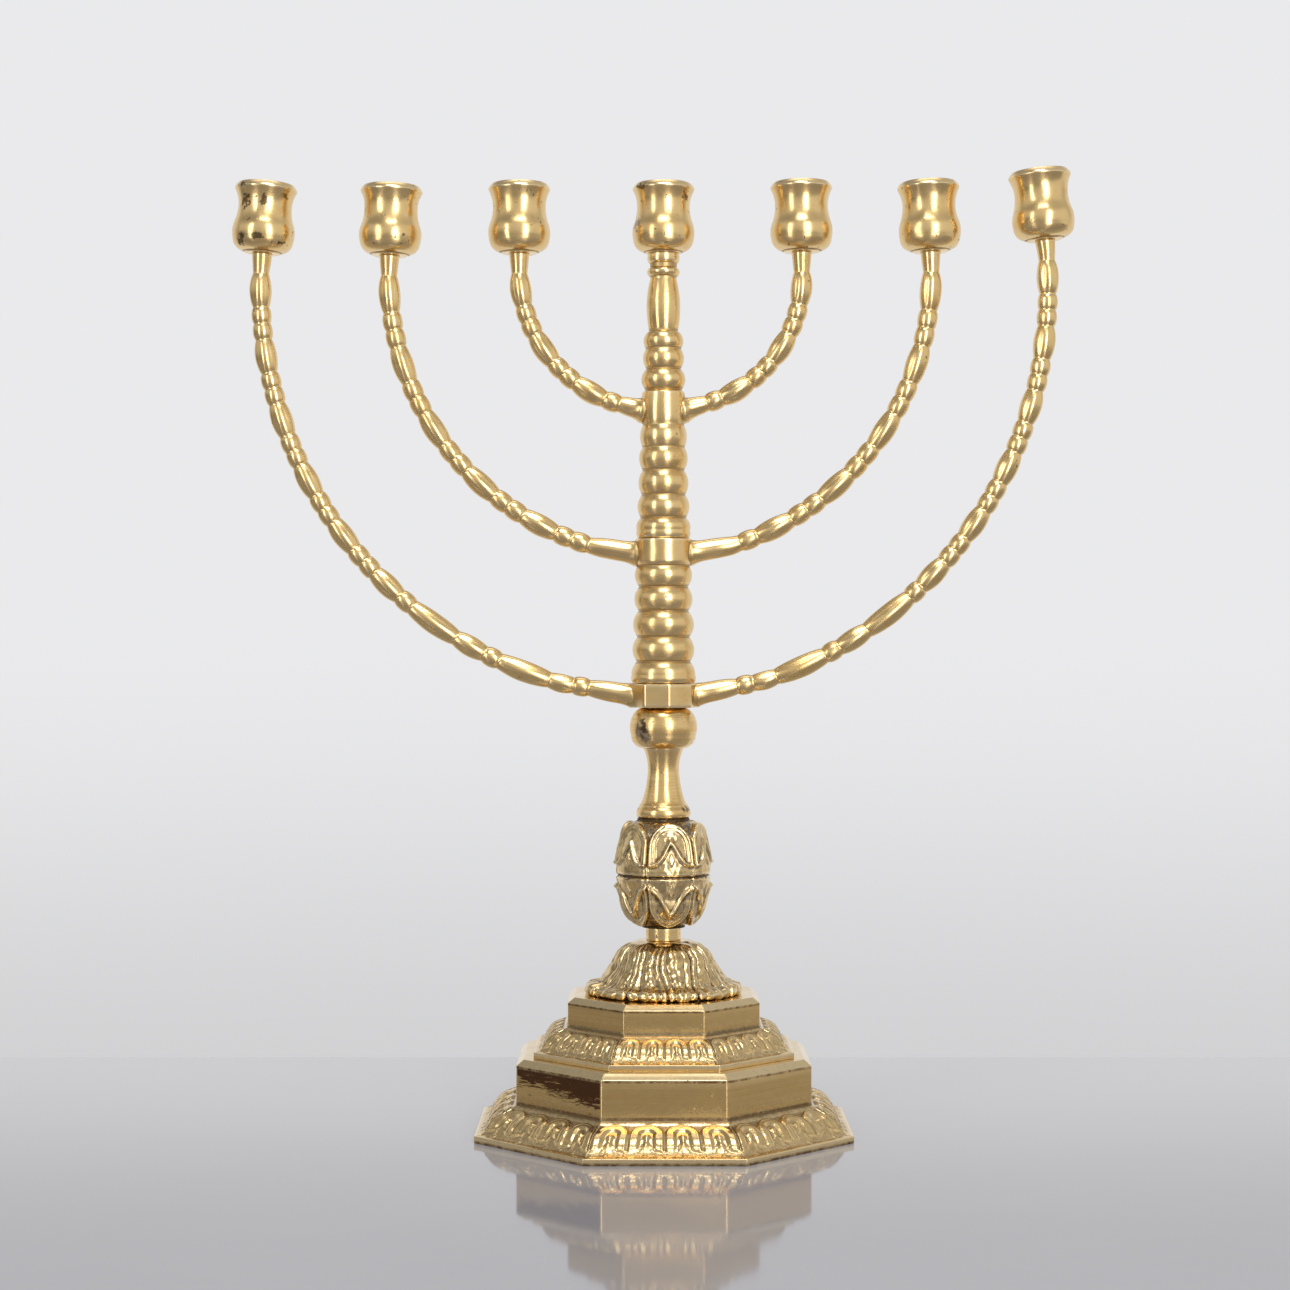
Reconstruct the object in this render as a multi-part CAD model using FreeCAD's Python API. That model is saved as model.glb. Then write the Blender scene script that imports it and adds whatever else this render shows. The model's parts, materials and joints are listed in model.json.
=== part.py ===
import FreeCAD, Part
import math
import os

# Seven-light brass menorah, in millimetres.
# Origin: centre of the base's underside, on the stem's axis. +Z is up, the arms
# spread along X and the front of the base faces -Y. "Left" is -X, seen from the front.
#
# A tie rod runs up the middle from a nut inside the hollow base to a tapped hole in
# the upper stem. It clamps everything between them, and the three pairs of arms
# swivel on it.

# ---- tie rod and its hardware -------------------------------------------------
ROD_R = 3.0
ROD_FIT = 0.09
ROD_BORE_R = ROD_R + ROD_FIT
ROD_BOTTOM = 20.0
ROD_TOP = 262.0
THREAD_FIT = 0.05
NUT_FLATS = 10.0
NUT_HEIGHT = 5.0
WASHER_R = 9.0
WASHER_HEIGHT = 1.6
SWIVEL_GAP = 0.2

# ---- heights of the joints between the stacked pieces --------------------------
LOWER_TIER_TOP = 33.0
UPPER_TIER_TOP = 57.5
DOME_TOP = 79.6
COLLAR_TOP = 85.2
KNOP_SEAM = 107.5
KNOP_TOP = 131.2
NECK_TOP = 160.9
BALL_TOP = 177.8
LOWER_HUB_TOP = 188.2
MIDDLE_HUB_TOP = 249.3
CUP_SEAT = 370.0

# ---- octagonal base, as half widths across the flats ----------------------------
LOWER_LIP = 78.0
LOWER_PLINTH = 61.0
LOWER_CHAMFER = 58.1
UPPER_LIP = 54.0
UPPER_PLINTH = 40.0
UPPER_CHAMFER = 37.3
WALL = 3.0
LIP_WALL = 4.5
LAPPETS_PER_SIDE = 4
LAPPET_REACH = 3.0

# A lappet's figure: half widths at its foot and where its arch springs, and heights, as
# shares of the pitch; the stalk's heights and the hollow's foot are shares of the
# lappet's length.
RIM_HALVES = (0.46, 0.42)
HOLLOW_HALVES = (0.24, 0.22)
STALK_HALVES = (0.2, 0.08)
ARCH_RISE = 0.4
RIM_BAND = 0.2
STALK_SPRING = 0.52
STALK_TOP = 0.64
HOLLOW_FOOT = 0.3

# ---- leaf dome and lobed knop ---------------------------------------------------
DOME_RIM_R = 32.5
DOME_FLUTES = 24
FLUTE_R = 2.4
FLUTE_DEPTH = 1.0
COLLAR_R = 7.4
KNOP_R = 20.3
KNOP_LAPPETS = 6
LAPPET_BALL_R = 20.0
LAPPET_DISH = 1.8

# ---- hubs -----------------------------------------------------------------------
LOWER_HUB_FLATS = 26.5
LOWER_HUB_TURN = 13.0
LUG_R = 5.0
LUG_REACH = 15.2

# ---- beaded arms ----------------------------------------------------------------
NECK_R = 3.4
LOBES = 6
GROOVE_SHARE = 0.87
BEAD_STATIONS = (0.0, 0.12, 0.3, 0.5, 0.7, 0.88, 1.0)
SWELL_POWER = 0.8
TIP_R = 4.3
TIP_LENGTH = 8.5

# Beads as (length, radius at the crest); the lengths stretch alike to fill an arm.
OLIVE = (14.0, 4.8)
BEAD = (6.4, 4.3)
MEDIUM_BEAD = (10.0, 4.2)
SHORT_OLIVE = (13.5, 4.6)
LONG_OLIVE = (22.0, 4.8)
HUB_OLIVE = (20.0, 4.6)
HUB_STUB = (12.0, 4.1)
TRIPLET = [OLIVE, BEAD, BEAD]

OUTER_BEADS = TRIPLET * 5 + [
    OLIVE, BEAD, LONG_OLIVE, SHORT_OLIVE, BEAD, LONG_OLIVE, MEDIUM_BEAD, BEAD, HUB_OLIVE,
]
MIDDLE_LEFT_BEADS = TRIPLET * 5 + [HUB_OLIVE]
MIDDLE_RIGHT_BEADS = TRIPLET * 4 + [OLIVE, BEAD, HUB_OLIVE]
INNER_BEADS = TRIPLET * 2 + [OLIVE, BEAD, HUB_STUB]

# Each arm hangs from its cup's foot, bends as an arc through the middle point to the
# knee, and runs straight from the knee into the hub. Points are (x, z). The tilt leans
# the cup towards the stem. The castings are hand-fitted, so left and right differ a little.
ARMS = {
    "outer_left": {
        "foot": (-169.8, 370.0), "tilt": 3.6, "middle": (-133.3, 247.8),
        "knee": (-43.5, 188.2), "root": (-11.0, 182.8), "beads": OUTER_BEADS,
    },
    "middle_left": {
        "foot": (-115.9, 369.1), "tilt": 1.8, "middle": (-94.8, 292.4),
        "knee": (-30.5, 246.3), "root": (-9.5, 242.8), "beads": MIDDLE_LEFT_BEADS,
    },
    "inner_left": {
        "foot": (-61.0, 370.0), "tilt": 0.0, "middle": (-48.2, 326.2),
        "knee": (-19.5, 306.4), "root": (-7.0, 303.4), "beads": INNER_BEADS,
    },
    "inner_right": {
        "foot": (58.5, 370.6), "tilt": -0.5, "middle": (47.4, 326.6),
        "knee": (19.5, 307.0), "root": (7.0, 303.4), "beads": INNER_BEADS,
    },
    "middle_right": {
        "foot": (113.0, 370.7), "tilt": -2.0, "middle": (92.0, 293.0),
        "knee": (29.0, 246.4), "root": (9.5, 243.2), "beads": MIDDLE_RIGHT_BEADS,
    },
    "outer_right": {
        "foot": (161.5, 375.6), "tilt": -5.0, "middle": (126.8, 249.1),
        "knee": (42.5, 189.2), "root": (11.0, 182.8), "beads": OUTER_BEADS,
    },
}
CENTRE_TIP = {"foot": (0.0, CUP_SEAT), "tilt": 0.0}

# ---- candle cups and their screws -------------------------------------------------
CUP_HEIGHT = 29.4
CANDLE_R = 10.0
CUP_FLOOR = 7.5
SCREW_SEAT = 4.5
SCREW_SEAT_R = 4.0
SCREW_HEAD_R = 3.5
SCREW_HEAD_HEIGHT = 2.4
SCREW_R = 2.0
SCREW_LENGTH = 9.5
SLOT_WIDTH = 0.9
SLOT_DEPTH = 1.0

ORIGIN = FreeCAD.Vector(0, 0, 0)
UP = FreeCAD.Vector(0, 0, 1)
CROSSWISE = FreeCAD.Vector(0, 1, 0)


def point(x, z):
    """A point in the plane of the arms."""
    return FreeCAD.Vector(x, 0, z)


def outline_edges(outline):
    """Edges through an outline: (x, z) draws a line, (x, z, x, z) an arc through a point."""
    edges = []
    here = point(*outline[0])
    for move in outline[1:]:
        there = point(*move[-2:])
        if len(move) == 4:
            edges.append(Part.Arc(here, point(*move[:2]), there).toShape())
        else:
            edges.append(Part.LineSegment(here, there).toShape())
        here = there
    return edges


def turned(outline, inside=None):
    """A solid turned about the stem's axis, from an outline of (radius, height).

    The inside is the wall of its bore or hollow, from top to bottom; without one
    the solid closes on the axis.
    """
    inside = inside or [(0.0, outline[-1][-1]), (0.0, outline[0][-1])]
    ring = outline + inside + [outline[0]]
    return Part.Face(Part.Wire(outline_edges(ring))).revolve(ORIGIN, UP, 360)


def bored(outline, bore_r):
    """A turned solid with a straight bore."""
    return turned(outline, [(bore_r, outline[-1][-1]), (bore_r, outline[0][-1])])


def cylinder(radius, bottom, top):
    return Part.makeCylinder(radius, top - bottom, point(0, bottom))


def prism(flats, sides, bottom, top):
    """An upright prism, by its width across the flats, with a flat facing front."""
    corner_r = flats / 2 / math.cos(math.pi / sides)
    angles = [math.pi * (2 * i + 1) / sides for i in range(sides + 1)]
    corners = [
        FreeCAD.Vector(corner_r * math.cos(a), corner_r * math.sin(a), bottom) for a in angles
    ]
    return Part.Face(Part.makePolygon(corners)).extrude(UP * (top - bottom))


def octagonal(outline):
    """The solid whose eight sides all follow one outline of (half width, height)."""
    right = outline_edges(outline)
    left = [edge.mirror(ORIGIN, FreeCAD.Vector(1, 0, 0)) for edge in right]
    caps = [
        Part.LineSegment(point(x, z), point(-x, z)).toShape()
        for x, z in (outline[0], outline[-1][-2:])
    ]
    face = Part.Face(Part.Wire(Part.__sortEdges__(right + left + caps)))
    reach = 2 * outline[0][0]
    face.translate(-CROSSWISE * reach)
    slab = face.extrude(CROSSWISE * reach * 2)
    solid = slab
    for angle in (45, 90, 135):
        turned_slab = slab.copy()
        turned_slab.rotate(ORIGIN, UP, angle)
        solid = solid.common(turned_slab)
    return solid


def arch(halves, pitch, foot_v, spring_v, crown_v):
    """A face in the XZ plane, inside two leaning legs and a round crown."""
    foot_half, spring_half = (share * pitch for share in halves)
    outline = [
        (-foot_half, foot_v), (-spring_half, spring_v), (0.0, crown_v, spring_half, spring_v),
        (foot_half, foot_v), (-foot_half, foot_v),
    ]
    return Part.Face(Part.Wire(outline_edges(outline)))


def make_lappet(pitch, length):
    """The raised figure of one lappet, upright in the XZ plane: an arch round a stalk."""
    spring_v = length - ARCH_RISE * pitch
    rim = arch(RIM_HALVES, pitch, 0.0, spring_v, length)
    hollow = arch(HOLLOW_HALVES, pitch, HOLLOW_FOOT * length, spring_v, length - RIM_BAND * pitch)
    stalk = arch(STALK_HALVES, pitch, 0.0, STALK_SPRING * length, STALK_TOP * length)
    return rim.cut(hollow).fuse(stalk)


def front_lappets(foot_w, foot_z, top_w, top_z):
    """Blocks in the shape of lappets, standing out of the front of a skirt."""
    rise, run = top_z - foot_z, foot_w - top_w
    length = math.hypot(rise, run)
    middle_w = (foot_w + top_w) / 2
    pitch = 2 * math.tan(math.pi / 8) * middle_w / LAPPETS_PER_SIDE
    figure = make_lappet(pitch, length).extrude(CROSSWISE * 2 * LAPPET_REACH)
    figure.translate(-CROSSWISE * LAPPET_REACH)
    blocks = []
    for i in range(LAPPETS_PER_SIDE):
        place = (i - (LAPPETS_PER_SIDE - 1) / 2) * pitch
        lean = math.degrees(math.atan(place * run / middle_w / length))
        block = figure.copy()
        block.rotate(ORIGIN, CROSSWISE, -lean)
        block.translate(FreeCAD.Vector(place * foot_w / middle_w, 0, 0))
        block.rotate(ORIGIN, FreeCAD.Vector(1, 0, 0), math.degrees(math.atan2(rise, run)) - 90)
        block.translate(FreeCAD.Vector(0, -foot_w, foot_z))
        blocks.append(block)
    return blocks


def make_tier(crest, ground, lappets, inside):
    """A hollow octagonal tier whose lappets rise from the ground of its skirt to the crest."""
    bottom, top = crest[0][-1], crest[-1][-1]
    reach = 2 * crest[0][0]
    half_side = reach * math.tan(math.pi / 8)
    front_corners = [(0, 0), (-half_side, -reach), (half_side, -reach), (0, 0)]
    wedge = Part.Face(Part.makePolygon([FreeCAD.Vector(x, y, bottom) for x, y in front_corners]))
    front = octagonal(crest).common(wedge.extrude(UP * (top - bottom)))
    raised = []
    for lappet in lappets:
        raised += front.common(lappet).Solids
    everywhere = []
    for side in range(8):
        for figure in raised:
            copy = figure.copy()
            copy.rotate(ORIGIN, UP, side * 45)
            everywhere.append(copy)
    tier = octagonal(ground).fuse(everywhere)
    return tier.cut([octagonal(inside), cylinder(ROD_BORE_R, bottom, top)])


# ---- base ---------------------------------------------------------------------


def make_base_lower():
    plinth = [
        (LOWER_PLINTH, 15.0), (LOWER_PLINTH, 30.6), (LOWER_CHAMFER, LOWER_TIER_TOP),
    ]
    lip = [(LOWER_LIP, 0.0), (LOWER_LIP, 2.8)]
    crest = lip + [
        (77.0, 3.0), (74.2, 5.0, 72.4, 7.4), (70.4, 9.7, 68.2, 11.6), (64.4, 13.3), (62.4, 14.7),
    ] + plinth
    ground = lip + [
        (76.0, 2.9), (73.3, 4.6, 71.6, 6.8), (69.6, 9.1, 67.4, 10.9), (63.9, 12.3), (61.8, 13.6),
    ] + plinth
    inside = [
        (LOWER_LIP - LIP_WALL, 0.0), (LOWER_LIP - LIP_WALL, 1.0), (62.0, 6.0),
        (LOWER_PLINTH - WALL, 11.5), (LOWER_PLINTH - WALL, 28.0),
        (LOWER_CHAMFER - WALL, LOWER_TIER_TOP - WALL),
    ]
    return make_tier(crest, ground, front_lappets(75.6, 3.4, 63.2, 14.4), inside)


def make_base_upper():
    bottom = LOWER_TIER_TOP
    plinth = [
        (UPPER_PLINTH, 46.0), (UPPER_PLINTH, 55.3), (UPPER_CHAMFER, UPPER_TIER_TOP),
    ]
    lip = [(UPPER_LIP, bottom), (UPPER_LIP, 35.5)]
    crest = lip + [
        (53.0, 35.7), (51.2, 37.0, 49.9, 38.6), (48.6, 40.9, 46.9, 42.7), (43.4, 44.6), (41.2, 45.7),
    ] + plinth
    ground = lip + [
        (52.2, 35.6), (50.5, 36.7, 49.2, 38.1), (47.9, 40.3, 46.3, 41.9), (43.0, 43.7), (40.7, 44.7),
    ] + plinth
    inside = [
        (UPPER_LIP - LIP_WALL, bottom), (UPPER_LIP - LIP_WALL, 34.0), (40.4, 38.5),
        (UPPER_PLINTH - WALL, 43.0), (UPPER_PLINTH - WALL, 53.5),
        (UPPER_CHAMFER - WALL, UPPER_TIER_TOP - WALL),
    ]
    return make_tier(crest, ground, front_lappets(51.6, 36.2, 41.8, 45.4), inside)


def make_leaf_dome():
    """A hollow bell of leaves, fluted from the shoulder down to its scalloped rim."""
    foot, flank, shoulder = (27.6, 62.4), (23.4, 67.4), (20.0, 73.6)
    bell = turned(
        [
            (DOME_RIM_R - 0.5, UPPER_TIER_TOP), (DOME_RIM_R, 60.0), (DOME_RIM_R - 0.5, 61.3),
            foot, flank + shoulder, (17.9, 76.4, 14.0, 78.2), (10.4, DOME_TOP),
        ],
        [
            (ROD_BORE_R, DOME_TOP), (ROD_BORE_R, DOME_TOP - WALL), (9.0, DOME_TOP - WALL - 0.5),
            (14.6, 74.6, 17.4, 71.6), (20.6, 65.6, 25.0, 60.4), (28.5, UPPER_TIER_TOP),
        ],
    )
    sweep = Part.Arc(point(*foot), point(*flank), point(*shoulder)).toShape().Curve
    flutes = []
    for i in range(DOME_FLUTES):
        flute = Part.makeTorus(sweep.Radius - FLUTE_R + FLUTE_DEPTH, FLUTE_R, sweep.Center, CROSSWISE)
        flute.rotate(ORIGIN, UP, (i + 0.5) * 360 / DOME_FLUTES)
        flutes.append(flute)
    return bell.cut(flutes)


# ---- stem ---------------------------------------------------------------------


def make_collar():
    return bored([(COLLAR_R, DOME_TOP), (COLLAR_R, COLLAR_TOP)], ROD_BORE_R)


def lappet_dishes(height, knop_r):
    """Balls that dish the lappets round one half of the knop, where it has a given radius."""
    dishes = []
    for i in range(KNOP_LAPPETS):
        angle = 2 * math.pi * i / KNOP_LAPPETS - math.pi / 2
        reach = knop_r + LAPPET_BALL_R - LAPPET_DISH
        centre = FreeCAD.Vector(math.cos(angle) * reach, math.sin(angle) * reach, height)
        dishes.append(Part.makeSphere(LAPPET_BALL_R, centre))
    return dishes


def make_knop_lower():
    half = turned(
        [
            (9.3, COLLAR_TOP), (14.2, 88.9, 17.4, 95.6), (19.2, 101.2, KNOP_R, 106.6),
            (KNOP_R - 0.5, KNOP_SEAM),
        ],
        [
            (KNOP_R - WALL - 0.5, KNOP_SEAM), (15.6, 98.4, 12.4, 91.8), (8.0, COLLAR_TOP + WALL),
            (ROD_BORE_R, COLLAR_TOP + WALL), (ROD_BORE_R, COLLAR_TOP),
        ],
    )
    return half.cut(lappet_dishes(95.0, 17.6))


def make_knop_upper():
    half = turned(
        [
            (KNOP_R - 0.5, KNOP_SEAM), (KNOP_R, 108.4), (19.4, 116.4, 17.4, 124.4),
            (16.2, 127.6, 13.6, 130.2), (11.2, KNOP_TOP),
        ],
        [
            (ROD_BORE_R, KNOP_TOP), (ROD_BORE_R, KNOP_TOP - WALL), (8.0, KNOP_TOP - WALL),
            (12.6, 125.4, 14.6, 121.6), (16.2, 115.0, KNOP_R - WALL - 0.5, KNOP_SEAM),
        ],
    )
    return half.cut(lappet_dishes(119.5, 18.9))


def make_neck():
    outline = [
        (10.2, KNOP_TOP), (11.3, 134.0, 10.2, 136.4), (9.3, 138.0),
        (6.85, 150.5, 8.7, NECK_TOP),
    ]
    return bored(outline, ROD_BORE_R)


def make_ball_knop():
    return bored([(9.7, NECK_TOP), (14.0, 169.4, 9.7, BALL_TOP)], ROD_BORE_R)


# ---- arms ---------------------------------------------------------------------


def cup_axis(tip):
    """The direction a cup points in."""
    tilt = math.radians(tip["tilt"])
    return point(math.sin(tilt), math.cos(tilt))


def seated(shape, tip):
    """A copy of a shape built on the origin, moved onto an arm's tip."""
    copy = shape.copy()
    copy.rotate(ORIGIN, CROSSWISE, tip["tilt"])
    copy.translate(point(*tip["foot"]))
    return copy


def arm_path(arm):
    """The arm's centreline below the tip: an arc, then a straight run into the hub."""
    start = point(*arm["foot"]) - cup_axis(arm) * TIP_LENGTH
    arc = Part.Arc(start, point(*arm["middle"]), point(*arm["knee"])).toShape()
    run = Part.LineSegment(point(*arm["knee"]), point(*arm["root"])).toShape()
    return arc, run


def path_frame(path, distance):
    """The point and direction at a distance along an arm's centreline, from its tip."""
    arc, run = path
    edge, along = (arc, distance) if distance <= arc.Length else (run, distance - arc.Length)
    parameter = edge.getParameterByLength(min(along, edge.Length))
    return edge.valueAt(parameter), edge.tangentAt(parameter)


def lobed_section(centre, direction, crest_r):
    """A six-lobed closed wire across an arm, with one lobe facing the front."""
    front = -CROSSWISE
    side = direction.cross(front)
    step = 2 * math.pi / LOBES

    def on_section(angle, radius):
        return centre + front * (radius * math.cos(angle)) + side * (radius * math.sin(angle))

    lobes = []
    for i in range(LOBES):
        crest = on_section(i * step, crest_r)
        groove = on_section((i - 0.5) * step, crest_r * GROOVE_SHARE)
        next_groove = on_section((i + 0.5) * step, crest_r * GROOVE_SHARE)
        lobes.append(Part.Arc(groove, crest, next_groove).toShape())
    return Part.Wire(lobes)


def make_bead(path, start, length, crest_r, meets_hub):
    """One lobed bead, swelling from a neck to its crest and back unless it meets the hub."""
    sections = []
    for share in BEAD_STATIONS:
        swell = math.sin(math.pi * share) ** SWELL_POWER
        if meets_hub and share > 0.5:
            swell = 1.0
        centre, direction = path_frame(path, start + share * length)
        sections.append(lobed_section(centre, direction, NECK_R + (crest_r - NECK_R) * swell))
    return Part.makeLoft(sections, True, False)


def make_arm(arm):
    """The solids of one beaded arm, from the tip under the cup to inside its hub."""
    tip = turned([(NECK_R, -TIP_LENGTH), (TIP_R, 0.0)])
    solids = [seated(tip, arm)]
    path = arm_path(arm)
    stretch = (path[0].Length + path[1].Length) / sum(length for length, _ in arm["beads"])
    start = 0.0
    for i, (nominal_length, crest_r) in enumerate(arm["beads"]):
        length = nominal_length * stretch
        meets_hub = i == len(arm["beads"]) - 1
        solids.append(make_bead(path, start, length, crest_r, meets_hub))
        start += length
    return solids


def screw_hole(tip):
    """The tapped hole for a cup's screw, down into the end of an arm."""
    hole = cylinder(SCREW_R + THREAD_FIT, -SCREW_LENGTH - 1.0, 1.0)
    return seated(hole, tip)


def make_casting(core, bore, names, extra_tips=()):
    """One casting: a piece of the stem with the arms of the given names."""
    solids = []
    for name in names:
        solids += make_arm(ARMS[name])
    tips = [ARMS[name] for name in names] + list(extra_tips)
    joined = core.fuse(solids)
    return joined.cut([bore] + [screw_hole(tip) for tip in tips])


def make_lower_arms():
    """The octagonal hub with the outer pair of arms and a lug where each one meets it."""
    bottom = BALL_TOP + SWIVEL_GAP
    hub = prism(LOWER_HUB_FLATS, 8, bottom, LOWER_HUB_TOP)
    hub.rotate(ORIGIN, UP, LOWER_HUB_TURN)
    middle = (bottom + LOWER_HUB_TOP) / 2
    lugs = Part.makeCylinder(
        LUG_R, 2 * LUG_REACH, point(-LUG_REACH, middle), FreeCAD.Vector(1, 0, 0)
    )
    bore = cylinder(ROD_BORE_R, bottom, LOWER_HUB_TOP)
    return make_casting(hub.fuse(lugs), bore, ("outer_left", "outer_right"))


def make_middle_arms():
    """The ribbed lower stem, its hub and the middle pair of arms."""
    bottom = LOWER_HUB_TOP + SWIVEL_GAP
    stem = turned([
        (13.2, bottom), (13.4, 191.4, 11.2, 197.6), (13.1, 202.4, 10.9, 207.8),
        (12.9, 213.0, 10.4, 218.8), (12.3, 223.4, 10.2, 229.0), (12.1, 233.2, 10.9, 237.9),
        (12.0, 239.2), (12.0, MIDDLE_HUB_TOP),
    ])
    bore = cylinder(ROD_BORE_R, bottom, MIDDLE_HUB_TOP)
    return make_casting(stem, bore, ("middle_left", "middle_right"))


def make_upper_stem():
    """The ribbed upper stem and baluster with the inner pair of arms."""
    bottom = MIDDLE_HUB_TOP + SWIVEL_GAP
    stem = turned([
        (11.0, bottom), (11.2, 252.4, 9.5, 258.2), (11.0, 262.9, 9.1, 267.9),
        (10.6, 272.9, 8.7, 278.3), (10.3, 283.0, 8.9, 288.0), (9.95, 292.8, 8.7, 297.4),
        (9.0, 299.0), (9.35, 305.0, 9.0, 311.2), (7.6, 312.4), (9.3, 316.9, 7.2, 321.2),
        (8.7, 325.4, 7.4, 329.7), (8.4, 333.3, 6.1, 337.2), (7.1, 345.6, 5.6, 359.2),
        (5.6, 360.2), (6.9, 362.0, 5.6, 364.0), (5.6, 366.2), (6.7, 366.6), (6.7, CUP_SEAT),
    ])
    tapped = cylinder(ROD_R + THREAD_FIT, bottom, ROD_TOP + 1.5)
    return make_casting(stem, tapped, ("inner_left", "inner_right"), [CENTRE_TIP])


# ---- cups, screws and tie rod ----------------------------------------------------


def make_cup():
    """A candle cup standing on the origin, with a recess for its screw's head."""
    outline = [
        (7.6, 0.0), (7.6, 0.6), (8.5, 0.6), (11.5, 2.6, 12.7, 5.5), (13.1, 8.2, 12.6, 12.0),
        (11.5, 16.2, 11.2, 20.0), (11.5, 22.6, 13.1, 26.9), (13.1, 27.4), (11.6, CUP_HEIGHT),
    ]
    inside = [
        (CANDLE_R, CUP_HEIGHT), (CANDLE_R, CUP_FLOOR), (SCREW_SEAT_R, CUP_FLOOR),
        (SCREW_SEAT_R, SCREW_SEAT), (SCREW_R + THREAD_FIT, SCREW_SEAT),
        (SCREW_R + THREAD_FIT, 0.0),
    ]
    return turned(outline, inside)


def make_cup_screw():
    """A slotted screw, seated in the cup that stands on the origin."""
    head_top = SCREW_SEAT + SCREW_HEAD_HEIGHT
    screw = turned([
        (SCREW_R, -SCREW_LENGTH), (SCREW_R, SCREW_SEAT), (SCREW_HEAD_R, SCREW_SEAT),
        (SCREW_HEAD_R, head_top - 1.0), (SCREW_HEAD_R - 0.3, head_top - 0.3, SCREW_R, head_top),
    ])
    slot = Part.makeBox(
        2 * SCREW_HEAD_R, SLOT_WIDTH, SLOT_DEPTH,
        FreeCAD.Vector(-SCREW_HEAD_R, -SLOT_WIDTH / 2, head_top - SLOT_DEPTH),
    )
    return screw.cut(slot)


def make_washer():
    top = LOWER_TIER_TOP - WALL
    return bored([(WASHER_R, top - WASHER_HEIGHT), (WASHER_R, top)], ROD_BORE_R)


def make_nut():
    top = LOWER_TIER_TOP - WALL - WASHER_HEIGHT - SWIVEL_GAP
    hexagon = prism(NUT_FLATS, 6, top - NUT_HEIGHT, top)
    return hexagon.cut(cylinder(ROD_R + THREAD_FIT, top - NUT_HEIGHT, top))


def make_tie_rod():
    chamfer = 0.5
    return turned([
        (ROD_R - chamfer, ROD_BOTTOM), (ROD_R, ROD_BOTTOM + chamfer),
        (ROD_R, ROD_TOP - chamfer), (ROD_R - chamfer, ROD_TOP),
    ])


nodes = {
    "base_lower": make_base_lower(),
    "base_upper": make_base_upper(),
    "leaf_dome": make_leaf_dome(),
    "collar": make_collar(),
    "knop_lower": make_knop_lower(),
    "knop_upper": make_knop_upper(),
    "neck": make_neck(),
    "ball_knop": make_ball_knop(),
    "lower_arms": make_lower_arms(),
    "middle_arms": make_middle_arms(),
    "upper_stem": make_upper_stem(),
    "tie_rod": make_tie_rod(),
    "base_nut": make_nut(),
    "base_washer": make_washer(),
}

tips = dict(ARMS, centre=CENTRE_TIP)
cup = make_cup()
screw = make_cup_screw()
for name, tip in tips.items():
    nodes["cup_" + name] = seated(cup, tip)
for group, names in {
    "outer_cup_screws": ("outer_left", "outer_right"),
    "middle_cup_screws": ("middle_left", "middle_right"),
    "upper_cup_screws": ("inner_left", "centre", "inner_right"),
}.items():
    nodes[group] = Part.makeCompound([seated(screw, tips[name]) for name in names])

os.makedirs("parts", exist_ok=True)
for name, shape in nodes.items():
    shape.exportStep("parts/" + name + ".step")
    print(f"{name:20s} solids {len(shape.Solids)}  valid {shape.isValid()}  {shape.Volume:10.1f} mm3")
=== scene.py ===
import json
import math

import bpy
import numpy as np
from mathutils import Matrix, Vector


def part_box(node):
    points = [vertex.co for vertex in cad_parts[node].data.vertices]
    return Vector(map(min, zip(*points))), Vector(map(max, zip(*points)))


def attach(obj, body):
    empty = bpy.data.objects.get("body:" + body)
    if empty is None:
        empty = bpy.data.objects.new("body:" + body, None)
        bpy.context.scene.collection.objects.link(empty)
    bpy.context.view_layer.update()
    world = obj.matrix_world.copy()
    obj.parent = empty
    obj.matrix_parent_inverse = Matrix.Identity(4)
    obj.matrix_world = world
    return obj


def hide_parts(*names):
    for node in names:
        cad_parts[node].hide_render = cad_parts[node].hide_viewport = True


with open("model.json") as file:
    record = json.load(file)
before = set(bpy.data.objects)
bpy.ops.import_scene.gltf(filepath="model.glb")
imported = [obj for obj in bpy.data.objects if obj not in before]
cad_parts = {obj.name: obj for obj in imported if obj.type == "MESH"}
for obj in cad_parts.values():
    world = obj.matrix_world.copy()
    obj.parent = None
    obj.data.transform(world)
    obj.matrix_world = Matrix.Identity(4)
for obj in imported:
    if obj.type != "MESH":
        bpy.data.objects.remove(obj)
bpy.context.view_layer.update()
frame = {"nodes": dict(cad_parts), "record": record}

# Seven-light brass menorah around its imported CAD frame. Shapes are worked out in
# millimetres and turned into metres when a mesh is made. +Z is up, the front faces -Y,
# and angles round the stem are measured from the front towards +X.
MM = 0.001

# ---- heights of the stacked pieces, from the frame -------------------------------------


def top_of(node):
    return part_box(node)[1].z / MM


def bottom_of(node):
    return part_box(node)[0].z / MM


LOWER_TIER_TOP = top_of("base_lower")
UPPER_TIER_TOP = top_of("base_upper")
DOME_TOP = top_of("leaf_dome")
COLLAR_TOP = top_of("collar")
KNOP_SEAM = top_of("knop_lower")
KNOP_TOP = top_of("knop_upper")
NECK_TOP = top_of("neck")
BALL_TOP = top_of("ball_knop")
LOWER_HUB_BOTTOM = bottom_of("lower_arms")
MIDDLE_STEM_BOTTOM = bottom_of("middle_arms")
UPPER_STEM_BOTTOM = bottom_of("upper_stem")
LOWER_HUB_TOP = MIDDLE_STEM_BOTTOM - 0.2
MIDDLE_HUB_TOP = UPPER_STEM_BOTTOM - 0.2
CUP_SEAT = bottom_of("cup_centre")

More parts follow.
